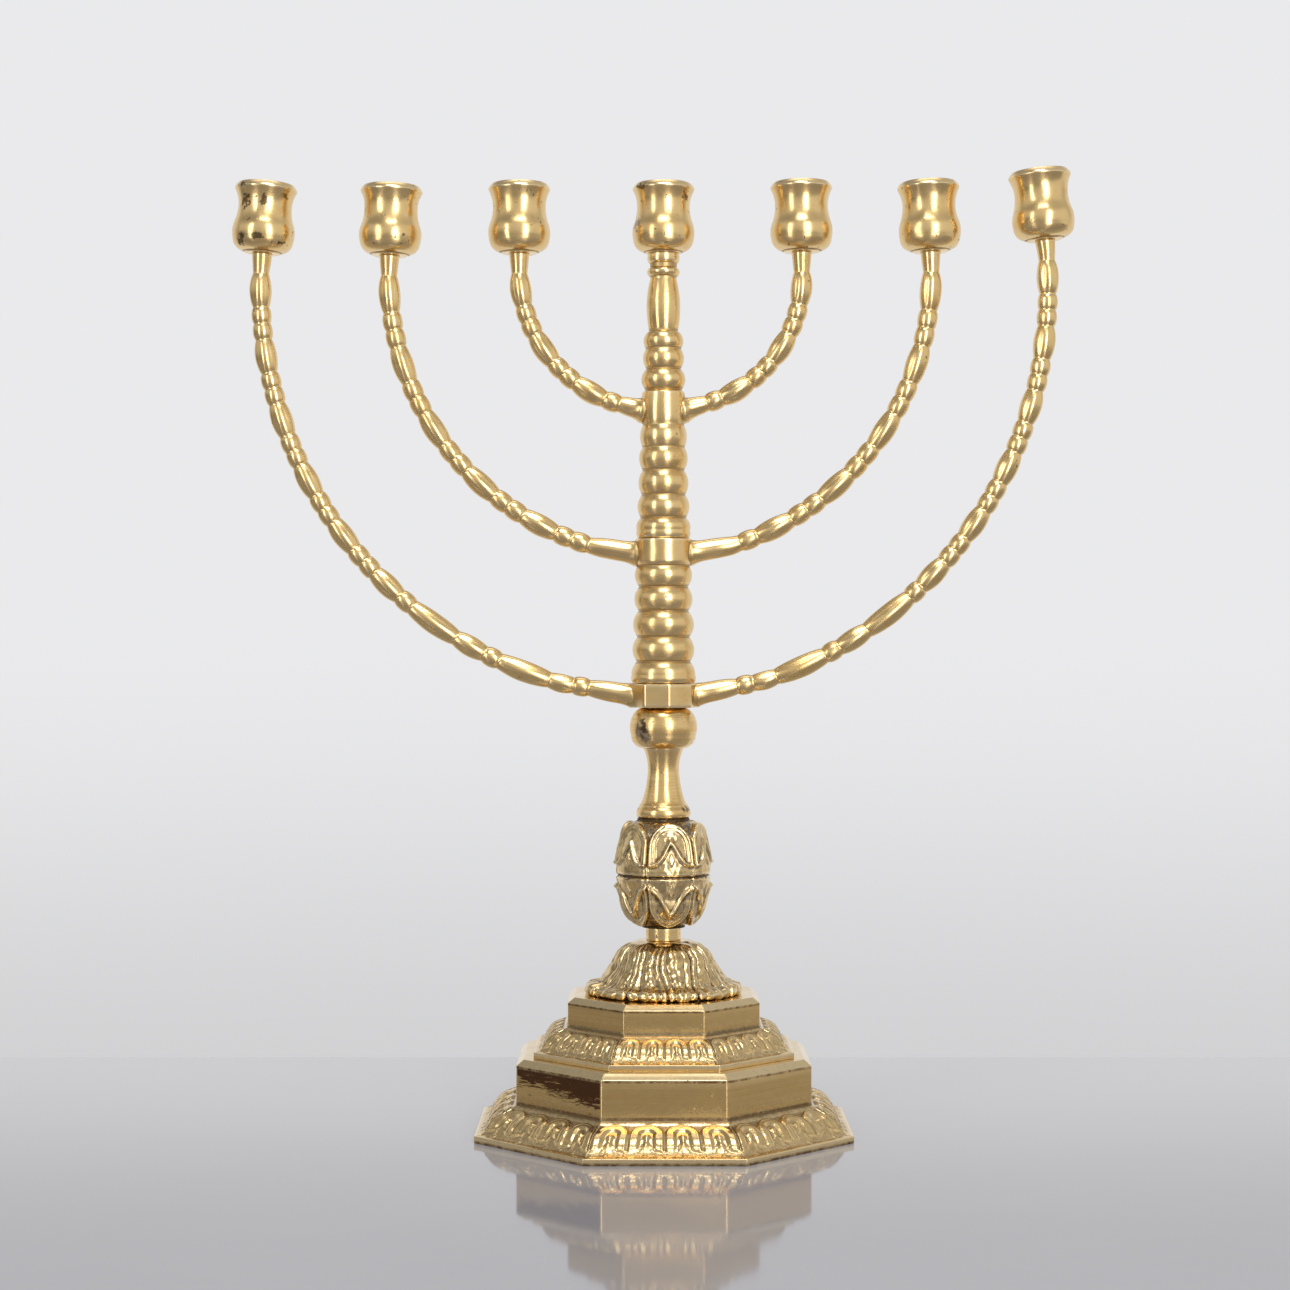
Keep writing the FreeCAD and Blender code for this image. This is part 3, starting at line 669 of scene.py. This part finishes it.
def arm_line(seat, axis, arm):
    """Evenly spaced points (x, z) from a cup's seat down the arm into its hub."""
    tip_end = tuple(seat - axis * TIP_LENGTH)
    outline = [tuple(seat), tip_end, arm["middle"] + arm["knee"], arm["root"]]
    points = np.array(trace(outline, ARM_STEP))
    for _ in range(6):
        points[1:-1] = (points[:-2] + 2 * points[1:-1] + points[2:]) / 4
    return points


def bead_radii(way, arm, across):
    """Radius of a beaded arm at each distance from its seat, and how deep its grooves are."""
    radius = TIP_R + (TIP_END_R - TIP_R) * np.clip(way / TIP_LENGTH, 0, 1)
    grooves = np.zeros_like(way)
    stretch = (way[-1] - TIP_LENGTH) / sum(length for length, _ in arm["beads"])
    start = TIP_LENGTH
    for number, (nominal, crest_r) in enumerate(arm["beads"]):
        length = nominal * stretch
        share = np.clip((way - start) / length, 0, 1)
        within = (way >= start) & (way <= start + length)
        ball = nominal < BALL_LIMIT
        swell = np.sqrt(4 * share * (1 - share)) if ball else np.sin(math.pi * share) ** 0.7
        if number == len(arm["beads"]) - 1:
            swell = np.where(share > 0.5, 1.0, swell)
        radius = np.where(within, NECK_R + (crest_r - NECK_R) * swell, radius)
        grooved = np.clip(swell * 1.25 - 0.15, 0, 1) * (0.3 if ball else 1.0)
        grooves = np.where(within, grooved, grooves)
        start += length
    from_hub = np.clip(across - arm["hub_r"], 0, None)
    radius += arm["flare"] * np.exp(-from_hub / FLARE_REACH)
    grooves *= step_up(0.0, 5.0, from_hub)
    return radius, grooves


def arm_grid(seat, axis, arm, seed):
    """The grid of one lobed, beaded arm from its flat tip to inside its hub."""
    line = arm_line(seat, axis, arm)
    along = np.gradient(line, axis=0)
    along /= np.linalg.norm(along, axis=1)[:, None]
    along[0] = along[1] = -axis
    side = np.stack([along[:, 1], -along[:, 0]], 1)
    way = np.concatenate([[0.0], np.cumsum(np.linalg.norm(np.diff(line, axis=0), axis=1))])
    radius, grooves = bead_radii(way, arm, np.abs(line[:, 0]))
    angle = np.arange(ARM_SEGMENTS)[None, :] * (2 * math.pi / ARM_SEGMENTS)
    valley = 1 - np.abs(np.cos(angle * LOBES / 2)) ** GROOVE_SHARPNESS
    r = radius[:, None] * (1 - GROOVE_DEPTH * grooves[:, None] * valley)
    flat = np.stack([line[:, :1] + r * np.sin(angle), -r * np.cos(angle), line[:, 1:] + 0 * r], -1)
    r = r + 0.035 * ripple(flat, 8.0, seed) * step_up(1.0, 4.0, way)[:, None]
    return np.stack([
        line[:, :1] + side[:, :1] * r * np.sin(angle), -r * np.cos(angle),
        line[:, 1:] + side[:, 1:] * r * np.sin(angle),
    ], -1)


def lathe_core(outline, inside, seed):
    ring, outer = soft_ring(outline, inside, rounding=0.16, spacing=0.55, inner_spacing=5.0)
    return revolved(ring, outer & (ring[:, 0] > 5.0), STEM_SEGMENTS, uneven=0.03, wavelength=8.0,
                    seed=seed)


def make_casting(name, core, arms, material, body, node, seed):
    """One casting: its piece of the stem and its pair of arms, welded together."""
    places = tips()
    piece = mesh_object(name, core)
    limbs = []
    for number, arm_name in enumerate(arms):
        seat, axis = places[arm_name]
        grid = arm_grid(seat, axis, ARMS[arm_name], seed + number)
        limbs.append(mesh_object(arm_name, grid, closed=False))
    union(piece, limbs)
    finish_piece(piece, body, material, [node], 12)


def octagon_core():
    """The filed octagonal hub of the outer pair, with a rounded lug where each arm leaves it."""
    low, high = LOWER_HUB_BOTTOM, LOWER_HUB_TOP
    outline = [(12.9, low), (13.25, low + 0.5), (13.25, high - 0.5), (12.9, high)]
    ring, _ = soft_ring(outline, [(BORE_R, high), (BORE_R, low)], rounding=0.16, spacing=0.8,
                        inner_spacing=4.0)
    angle = np.arange(STEM_SEGMENTS)[None, :] * (2 * math.pi / STEM_SEGMENTS)
    local = (angle + HUB_TURN + math.pi / 8) % (math.pi / 4) - math.pi / 8
    flats = np.minimum(1 / np.cos(local), 1.068)
    lug = np.maximum(ridge(angle - math.pi / 2, 0.33), ridge(angle - 3 * math.pi / 2, 0.33))
    stretch = np.where((ring[:, 0] > 5.0)[:, None], flats + 0.1 * lug, 1.0)
    r = ring[:, 0][:, None] * stretch
    z = ring[:, 1][:, None] + 0 * r
    return np.stack([r * np.sin(angle), -r * np.cos(angle), z], -1)


def middle_core():
    low, top = MIDDLE_STEM_BOTTOM, MIDDLE_HUB_TOP
    outline = [
        (12.9, low), (13.6, low + 1.0, 13.5, low + 3.2), (13.3, 193.8, 11.2, 197.4),
        (13.1, 202.4, 10.9, 207.8), (12.9, 213.0, 10.4, 218.8), (12.3, 223.4, 10.2, 229.0),
        (12.1, 233.2, 10.9, 237.9), (11.6, 238.6), (12.0, 239.6), (12.0, top - 0.3), (11.7, top),
    ]
    return lathe_core(outline, [(BORE_R, top), (BORE_R, low)], 51)


def upper_core():
    low = UPPER_STEM_BOTTOM
    outline = [
        (10.9, low), (11.4, low + 1.4, 11.3, low + 3.4), (11.0, 256.4, 9.5, 258.2),
        (11.0, 262.9, 9.1, 267.9), (10.6, 272.9, 8.7, 278.3), (10.3, 283.0, 8.9, 288.0),
        (9.95, 292.8, 8.7, 297.4), (9.0, 299.0), (9.35, 305.0, 9.0, 311.2), (7.6, 312.4),
        (9.3, 316.9, 7.2, 321.2), (8.7, 325.4, 7.4, 329.7), (8.4, 333.3, 6.1, 337.2),
        (7.1, 345.6, 5.6, 359.2), (5.6, 360.2), (6.9, 362.0, 5.6, 364.0), (5.7, 365.8),
        (6.6, 366.4), (6.8, 368.0, 6.6, CUP_SEAT),
    ]
    hole_floor = CUP_SEAT - SCREW_HOLE_DEPTH
    upper_hole = [(SCREW_HOLE_R, CUP_SEAT), (SCREW_HOLE_R, hole_floor), (0.3, hole_floor)]
    lower_hole = [(0.3, TAPPED_TOP), (TAPPED_R, TAPPED_TOP), (TAPPED_R, low)]
    return lathe_core(outline, upper_hole + lower_hole, 52)


# ---- cups ------------------------------------------------------------------------------


def make_cups(material):
    outline = [
        (7.4, 0.0), (7.6, 0.3), (7.7, 0.6), (8.6, 0.7), (11.5, 2.5, 12.8, 5.6),
        (13.15, 8.2, 12.5, 12.4), (11.5, 16.0, 11.2, 19.6), (11.45, 22.4, 13.0, 26.6),
        (13.15, 27.2), (12.7, 28.1), (11.5, CUP_HEIGHT),
    ]
    inside = [
        (10.5, CUP_HEIGHT), (CANDLE_R, CUP_HEIGHT - 0.6), (CANDLE_R, CUP_FLOOR),
        (SCREW_SEAT_R, CUP_FLOOR), (SCREW_SEAT_R, SCREW_SEAT), (SCREW_HOLE_R, SCREW_SEAT),
        (SCREW_HOLE_R, 0.0),
    ]
    ring, outer = soft_ring(outline, inside, rounding=0.16, spacing=0.55, inner_spacing=2.5)
    bodies = {"outer": "outer_pair", "middle": "middle_pair"}
    for number, (place, (seat, axis)) in enumerate(sorted(tips().items())):
        grid = revolved(ring, outer & (ring[:, 0] > 7.0), 144, uneven=0.065, wavelength=8.5,
                        seed=61 + number)
        x, y, z = grid[..., 0], grid[..., 1], grid[..., 2]
        leaning = np.stack([seat[0] + x * axis[1] + z * axis[0], y,
                            seat[1] - x * axis[0] + z * axis[1]], -1)
        piece = mesh_object(place + "_cup", leaning)
        body = bodies.get(place.split("_")[0], "upper_group")
        finish_piece(piece, body, material, ["cup_" + place])


# ---- materials -------------------------------------------------------------------------


class Graph:
    """A material's or the world's node tree, with short ways to add its nodes."""

    def __init__(self, owner, shader="Principled BSDF"):
        owner.use_nodes = True
        self.owner = owner
        self.tree = owner.node_tree
        self.shader = self.tree.nodes[shader]

    def add(self, kind, inputs=None, **settings):
        node = self.tree.nodes.new(kind)
        for key, value in settings.items():
            setattr(node, key, value)
        for key, value in (inputs or {}).items():
            self.put(node.inputs[key], value)
        return node

    def put(self, socket, value):
        if isinstance(value, bpy.types.NodeSocket):
            self.tree.links.new(value, socket)
        else:
            socket.default_value = value

    def attribute(self, name):
        return self.add("ShaderNodeAttribute", attribute_name=name).outputs["Fac"]

    def place(self, stretch=(1, 1, 1)):
        """Object coordinates in millimetres, stretched along each axis."""
        where = self.add("ShaderNodeTexCoord").outputs["Object"]
        scale = tuple(value / MM for value in stretch)
        return self.add("ShaderNodeMapping", {"Vector": where, "Scale": scale}).outputs["Vector"]

    def parts(self, vector):
        return self.add("ShaderNodeSeparateXYZ", {"Vector": vector}).outputs

    def noise(self, place, scale, detail=4.0, roughness=0.6):
        inputs = {"Vector": place, "Scale": scale, "Detail": detail, "Roughness": roughness}
        return self.add("ShaderNodeTexNoise", inputs).outputs["Fac"]

    def ramp(self, value, low, high, out_low=0.0, out_high=1.0):
        inputs = {"Value": value, "From Min": low, "From Max": high, "To Min": out_low, "To Max": out_high}
        return self.add("ShaderNodeMapRange", inputs, interpolation_type="SMOOTHSTEP").outputs["Result"]

    def band(self, value, middle, half):
        """1 at a middle value, falling to 0 within a half width on either side."""
        return self.ramp(self.maths("ABSOLUTE", self.minus(value, middle)), half, 0.3 * half)

    def maths(self, operation, first, second=0.0):
        return self.add("ShaderNodeMath", {0: first, 1: second}, operation=operation).outputs[0]

    def plus(self, first, second):
        return self.maths("ADD", first, second)

    def minus(self, first, second):
        return self.maths("SUBTRACT", first, second)

    def times(self, first, second):
        return self.maths("MULTIPLY", first, second)

    def mix(self, share, first, second):
        """A colour between two colours."""
        return self.add("ShaderNodeMix", {0: share, 6: first, 7: second}, data_type="RGBA").outputs[2]

    def blend(self, share, first, second):
        """A number between two numbers."""
        return self.add("ShaderNodeMix", {0: share, 2: first, 3: second}).outputs[0]

    def metal(self, colour, roughness, height, strength):
        """Finishes a metal with a colour, a roughness and the height of its fine bumps."""
        bump = self.add("ShaderNodeBump", {"Height": height, "Strength": strength, "Distance": BUMP_HEIGHT})
        self.put(self.shader.inputs["Base Color"], colour)
        self.put(self.shader.inputs["Metallic"], 1.0)
        self.put(self.shader.inputs["Roughness"], roughness)
        self.put(self.shader.inputs["Normal"], bump.outputs["Normal"])
        return self.owner


BUMP_HEIGHT = 0.03 * MM

BRASS = (0.80, 0.575, 0.265, 1)
AMBER = (0.70, 0.435, 0.145, 1)
PALE_BRASS = (0.92, 0.76, 0.48, 1)
UMBER = (0.075, 0.047, 0.024, 1)
DUSK = (0.30, 0.23, 0.17, 1)
OLIVE_GREY = (0.47, 0.36, 0.185, 1)
PLINTH_BROWN = (0.56, 0.36, 0.13, 1)
RIM_SHADE_BROWN = (0.20, 0.115, 0.045, 1)
RESIDUE = (0.74, 0.62, 0.44, 1)
OXBLOOD = (0.075, 0.024, 0.01, 1)
STEEL = (0.52, 0.52, 0.53, 1)
DULL_STEEL = (0.36, 0.34, 0.32, 1)
TABLE_GREY = (0.265, 0.26, 0.28, 1)
TABLE_PALE = (0.305, 0.30, 0.32, 1)
TABLE_FAR_LIT = (0.50, 0.495, 0.515, 1)
STUDIO_WHITE = (0.985, 0.985, 1.0, 1)

# Heights on the tiers in millimetres: the brushed plinths as (low, high), and the dark lines
# along their edges as (middle, half width), painted shade that is partly brown tarnish.
PLINTH_SPANS = [(15.4, 29.9), (46.0, 55.2)]
SHADE_BROWN_RIMS = [(15.1, 0.9), (30.0, 0.8), (54.8, 0.7)]

# Dark marks on the metal, as (centre, reach along each axis, colour), in millimetres.
BLOTS = [
    ((-8.9, -11.2, 167.8), (3.4, 3.8, 6.0), DUSK),
    ((-8.4, -11.6, 169.5), (1.6, 3.0, 3.6), UMBER),
    ((10.6, -5.0, 135.5), (3.2, 4.5, 1.7), UMBER),
    ((9.3, -8.0, 393.4), (1.8, 3.5, 2.6), OXBLOOD),
    ((-11.1, -5.5, 382.1), (2.2, 4.2, 3.6), DUSK),
    ((-9.0, -8.5, 397.1), (4.5, 4.0, 1.2), UMBER),
    ((-175.0, -8.5, 390.7), (1.9, 3.2, 3.8), OXBLOOD),
    ((-176.9, -8.5, 374.6), (1.9, 3.2, 3.2), UMBER),
    ((-167.5, -11.6, 390.9), (1.5, 2.4, 2.4), UMBER),
    ((-170.0, -12.6, 375.9), (3.1, 2.4, 1.4), UMBER),
    ((-158.7, -8.6, 392.6), (2.3, 3.2, 1.5), UMBER),
    ((-158.7, -9.5, 372.9), (2.8, 3.4, 1.3), UMBER),
    ((-175.0, -8.5, 397.8), (3.5, 4.0, 1.2), UMBER),
]


def brass(name, tarnish, specks, roughness, residue=0.0, lines=0.0, depth=0.0, tiers=False):
    """Aged polished brass.

    tarnish is how dark the hollows are, specks how many pits there are, residue how much pale
    polish is left in the hollows, lines the strength of turned lines, and depth how dark the
    ground between the leaves of a casting is painted, partly as shade and partly as tarnish.
    tiers brushes the plinths and adds their stain.
    """
    g = Graph(bpy.data.materials.new(name))
    place = g.place()
    cavity = g.attribute("cavity")
    cloud = g.noise(place, 0.09, 5.0, 0.6)
    fine = g.noise(place, 0.9, 4.0, 0.65)
    ragged = g.plus(cavity, g.ramp(fine, 0.3, 0.7, -0.16, 0.16))
    colour = g.mix(g.ramp(cloud, 0.5, 0.74, 0.0, 0.6), BRASS, AMBER)
    if depth:
        dulled = g.ramp(g.noise(place, 0.35, 5.0, 0.7), 0.42, 0.66, 0.2 * depth, depth)
        colour = g.mix(dulled, colour, OLIVE_GREY)
    colour = g.mix(g.times(g.ramp(cavity, -0.15, -0.7), 0.45), colour, PALE_BRASS)
    rough = g.ramp(cloud, 0.35, 0.75, roughness, roughness + 0.07)
    height = g.times(fine, 0.3)
    if residue:
        kept = g.times(g.ramp(ragged, 0.02, 0.3), g.ramp(cloud, 0.3, 0.55, 0.4 * residue, residue))
        colour = g.mix(kept, colour, RESIDUE)
        rough = g.plus(rough, g.times(kept, 0.25))
    # Painted shade, partly tarnish: the recessed ground marked by depth is painted darker; its grain and
    # extra roughness are the surface itself.
    if depth:
        grain = g.noise(place, 2.6, 3.0, 0.7)
        deep = g.plus(g.attribute("depth"), g.ramp(fine, 0.3, 0.7, -0.18, 0.18))
        deep = g.ramp(deep, 0.45, 0.8)
        colour = g.mix(g.times(deep, depth), colour, g.mix(g.ramp(grain, 0.42, 0.6), UMBER, DUSK))
        rough = g.plus(rough, g.times(deep, 0.22))
        height = g.plus(height, g.times(g.times(grain, deep), 1.2))
    hollow = g.ramp(ragged, 0.12, 0.7)
    colour = g.mix(g.times(hollow, tarnish), colour, UMBER)
    rough = g.plus(rough, g.times(hollow, 0.2))
    spots = g.noise(place, 0.5, 4.0, 0.6)
    pit = g.ramp(spots, 0.675 - 0.03 * specks, 0.70 - 0.03 * specks)
    pit = g.times(pit, g.ramp(g.noise(place, 0.055, 2.0), 0.42, 0.55))
    colour = g.mix(g.times(pit, 0.85), colour, UMBER)
    rough = g.plus(rough, g.times(pit, 0.3))
    height = g.minus(height, g.times(pit, 1.2))
    if lines:
        scored = g.noise(g.place((0.012, 0.012, 1.0)), 3.2, 3.0, 0.7)
        rough = g.plus(rough, g.ramp(scored, 0.35, 0.7, 0.0, 0.07 * lines))
        height = g.plus(height, g.times(scored, 1.2 * lines))
        colour = g.mix(g.ramp(scored, 0.4, 0.7, 0.0, 0.6 * lines), colour, AMBER)
    if tiers:
        colour, rough, height = brushed_plinths(g, colour, rough, height)
    else:
        for centre, reach, tint in BLOTS:
            colour = blot(g, place, centre, reach, tint, spots, colour)
    return g.metal(colour, rough, height, 0.5)


def blot(g, place, centre, reach, tint, noise, colour):
    """Adds one ragged mark to a colour."""
    away = g.add("ShaderNodeVectorMath", {0: place, 1: centre}, operation="SUBTRACT").outputs[0]
    away = g.add("ShaderNodeVectorMath", {0: away, 1: reach}, operation="DIVIDE").outputs[0]
    distance = g.add("ShaderNodeVectorMath", {0: away}, operation="LENGTH").outputs["Value"]
    distance = g.plus(distance, g.ramp(noise, 0.35, 0.65, 0.55, -0.45))
    return g.mix(g.ramp(distance, 1.0, 0.7, 0.0, 0.8), colour, tint)


def brushed_plinths(g, colour, rough, height):
    """Brushed lines along the plinths, and the brown stain on the lower one's front left face."""
    x, y, z = g.parts(g.place())
    plinth = g.maths("MAXIMUM", *(
        g.times(g.ramp(z, low, low + 0.8), g.ramp(z, high, high - 0.6)) for low, high in PLINTH_SPANS
    ))
    scored = g.noise(g.place((0.01, 0.01, 1.0)), 1.5, 4.0, 0.75)
    rough = g.plus(rough, g.times(plinth, g.ramp(scored, 0.35, 0.7, -0.06, 0.03)))
    height = g.plus(height, g.times(g.times(scored, plinth), 1.1))
    colour = g.mix(g.times(plinth, g.ramp(scored, 0.4, 0.65, 0.6, 0.9)), colour, PLINTH_BROWN)
    # Painted shade, partly brown tarnish: dark lines under the chamfers, at the lower plinth's foot and at
    # the foot of the lip by the table.
    rims = g.ramp(z, 1.6, 0.5)
    for middle, half in SHADE_BROWN_RIMS:
        rims = g.plus(rims, g.band(z, middle, half))
    rim_patchiness = g.ramp(g.noise(g.place(), 0.35, 4.0, 0.7), 0.4, 0.6, 0.5, 1.0)
    colour = g.mix(g.times(g.maths("MINIMUM", rims, 1.0), rim_patchiness), colour, RIM_SHADE_BROWN)
    # The stained face looks half way between left and front. It is darker higher up and to its right.
    out = g.times(g.plus(x, y), -math.sqrt(0.5))
    along = g.times(g.minus(x, y), math.sqrt(0.5))
    face = g.times(g.ramp(out, 60.0, 60.6), g.ramp(g.maths("ABSOLUTE", along), 25.2, 24.2))
    streaks = g.noise(g.place((0.12, 0.12, 0.9)), 0.9, 6.0, 0.8)
    spread = g.ramp(g.plus(z, g.times(along, 0.12)), 15.5, 28.0, -0.14, 0.15)
    stained = g.ramp(g.plus(streaks, spread), 0.5, 0.545)
    share = g.times(g.times(face, stained), g.ramp(z, 29.8, 29.2))
    return g.mix(g.times(share, 0.94), colour, OXBLOOD), g.plus(rough, g.times(share, 0.12)), height


def steel():
    """Plain zinc-grey steel with turned lines, for the rod, nut and washer."""
    g = Graph(bpy.data.materials.new("rod_steel_worn"))
    scored = g.noise(g.place((0.05, 0.05, 1.0)), 2.5)
    colour = g.mix(g.ramp(g.noise(g.place(), 0.2), 0.4, 0.7), STEEL, DULL_STEEL)
    return g.metal(colour, g.ramp(scored, 0.3, 0.7, 0.28, 0.5), scored, 0.4)


def paint_node(name, material):
    for slot in frame["nodes"][name].material_slots:
        slot.material = material


# ---- stage -----------------------------------------------------------------------------


def make_floor():
    """A pale polished table that ends a little behind the menorah, painted paler towards the back as painted
    light.
    """
    half_width, front, back = 3.0, -3.0, 0.182
    corners = [(-half_width, front, 0), (half_width, front, 0), (half_width, back, 0), (-half_width, back, 0)]
    mesh = bpy.data.meshes.new("floor")
    mesh.from_pydata(corners, [], [(0, 1, 2, 3)])
    g = Graph(bpy.data.materials.new("pale_table"))
    where = g.add("ShaderNodeTexCoord").outputs["Object"]
    cloud = g.noise(where, 9.0, 6.0, 0.6)
    # Painted light: the table's colour grows paler towards the back, as if lit more there.
    lit_far = g.ramp(g.parts(where)[1], -0.22, 0.2)
    g.put(g.shader.inputs["Base Color"], g.mix(lit_far, g.mix(cloud, TABLE_GREY, TABLE_PALE), TABLE_FAR_LIT))
    g.put(g.shader.inputs["Roughness"], g.ramp(cloud, 0.3, 0.7, 0.05, 0.09))
    g.put(g.shader.inputs["IOR"], 1.6)
    mesh.materials.append(g.owner)
    add_object("floor", mesh)


def soft_box(name, place, aim, width, height, power):
    light = bpy.data.lights.new(name, "AREA")
    light.shape = "RECTANGLE"
    light.size = width
    light.size_y = height
    light.energy = power
    lamp = add_object(name, light)
    lamp.location = place
    away = lamp.location - type(lamp.location)(aim)
    lamp.rotation_euler = away.to_track_quat("Z", "Y").to_euler()
    lamp.visible_camera = False


def around(azimuth, elevation, distance, height):
    """A place seen from the menorah at an azimuth from the front and an elevation, in degrees."""
    a, e = math.radians(azimuth), math.radians(elevation)
    return (distance * math.cos(e) * math.sin(a), -distance * math.cos(e) * math.cos(a),
            height + distance * math.sin(e))


def make_lights():
    """Two upright soft boxes in front, one each side of the camera, and one overhead."""
    soft_box("left_box", around(-44.7, 0, 1.36, 0.56), (0, 0, 0.56), width=0.27, height=1.0, power=3.2)
    soft_box("right_box", around(20.8, 0, 1.12, 0.53), (0, 0, 0.53), width=0.36, height=0.94, power=4.8)
    soft_box("top_box", around(3, 60, 1.2, 0.2), (0, 0, 0.2), width=0.52, height=0.45, power=4.2)


def make_world():
    """A plain studio: pale behind and above, dimmer in front, and dim on the left."""
    world = bpy.data.worlds.new("studio")
    bpy.context.scene.world = world
    g = Graph(world, "Background")
    x, y, z = g.parts(g.add("ShaderNodeTexCoord").outputs["Generated"])
    # Low down it is dim in front and dimmer on the left; higher up it is pale all round.
    low = g.times(g.ramp(x, -0.1, 0.6, 0.46, 0.78), g.ramp(x, -0.8, -0.4, 0.4, 1.0))
    high = g.times(g.ramp(x, -0.5, 0.6, 0.66, 0.82), g.ramp(y, -0.1, 0.2, 1.0, 0.72))
    front = g.blend(g.ramp(z, -0.15, 0.3), low, high)
    around_it = g.blend(g.ramp(y, 0.2, 0.6), front, 0.86)
    # The ceiling is dim, and dimmer on the left, round a bright patch overhead.
    patch = g.times(g.times(g.ramp(x, -0.45, -0.15), g.ramp(x, 0.45, 0.15)), g.ramp(y, 0.45, 0.3))
    ceiling = g.blend(patch, g.ramp(x, -0.5, 0.4, 0.36, 0.56), g.ramp(y, 0.02, 0.14, 0.65, 2.1))
    reflected = g.blend(g.ramp(z, 0.4, 0.65), around_it, ceiling)
    # The backdrop itself is a plain grey that grows paler upwards.
    backdrop = g.ramp(z, -0.19, 0.01, 0.64, 0.835)
    is_backdrop = g.add("ShaderNodeLightPath").outputs["Is Camera Ray"]
    g.put(g.shader.inputs["Strength"], g.blend(is_backdrop, reflected, backdrop))
    g.put(g.shader.inputs["Color"], STUDIO_WHITE)


def make_camera():
    data = bpy.data.cameras.new("camera")
    data.sensor_width = 36
    data.lens = 69.9
    camera = add_object("camera", data)
    camera.location = (-0.0078, -1.060, 0.2044)
    camera.rotation_euler = (math.pi / 2, 0, 0)
    bpy.context.scene.camera = camera


# ---- the whole menorah -----------------------------------------------------------------

make_camera()
tier_metal = brass("tier_brass_aged", tarnish=0.75, specks=0.1, roughness=0.16, residue=0.2, depth=0.55,
                   tiers=True)
cast_metal = brass("cast_brass_aged", tarnish=0.8, specks=0.4, roughness=0.14, residue=0.4, depth=1.0)
turned_metal = brass("turned_brass_aged", tarnish=0.6, specks=1.0, roughness=0.15, lines=1.3)
arm_metal = brass("arm_brass_aged", tarnish=0.35, specks=0.15, roughness=0.2, lines=0.3)
cup_metal = brass("cup_brass_aged", tarnish=0.6, specks=1.0, roughness=0.2, lines=0.2)
screw_metal = brass("screw_brass_plain", tarnish=0.3, specks=0.2, roughness=0.25)
rod_metal = steel()

make_base_lower(tier_metal)
make_base_upper(tier_metal)
make_leaf_dome(cast_metal)
make_knops(cast_metal)
make_turned_stem(turned_metal)
make_casting("outer_arms_cast", octagon_core(), ("outer_left", "outer_right"),
             arm_metal, "outer_pair", "lower_arms", 71)
make_casting("middle_arms_cast", middle_core(), ("middle_left", "middle_right"),
             arm_metal, "middle_pair", "middle_arms", 73)
make_casting("upper_stem_cast", upper_core(), ("inner_left", "inner_right"),
             arm_metal, "upper_group", "upper_stem", 75)
make_cups(cup_metal)
for group in ("outer_cup_screws", "middle_cup_screws", "upper_cup_screws"):
    paint_node(group, screw_metal)
for hardware in ("tie_rod", "base_nut", "base_washer"):
    paint_node(hardware, rod_metal)

make_floor()
make_lights()
make_world()
bpy.context.scene.view_settings.view_transform = "Standard"
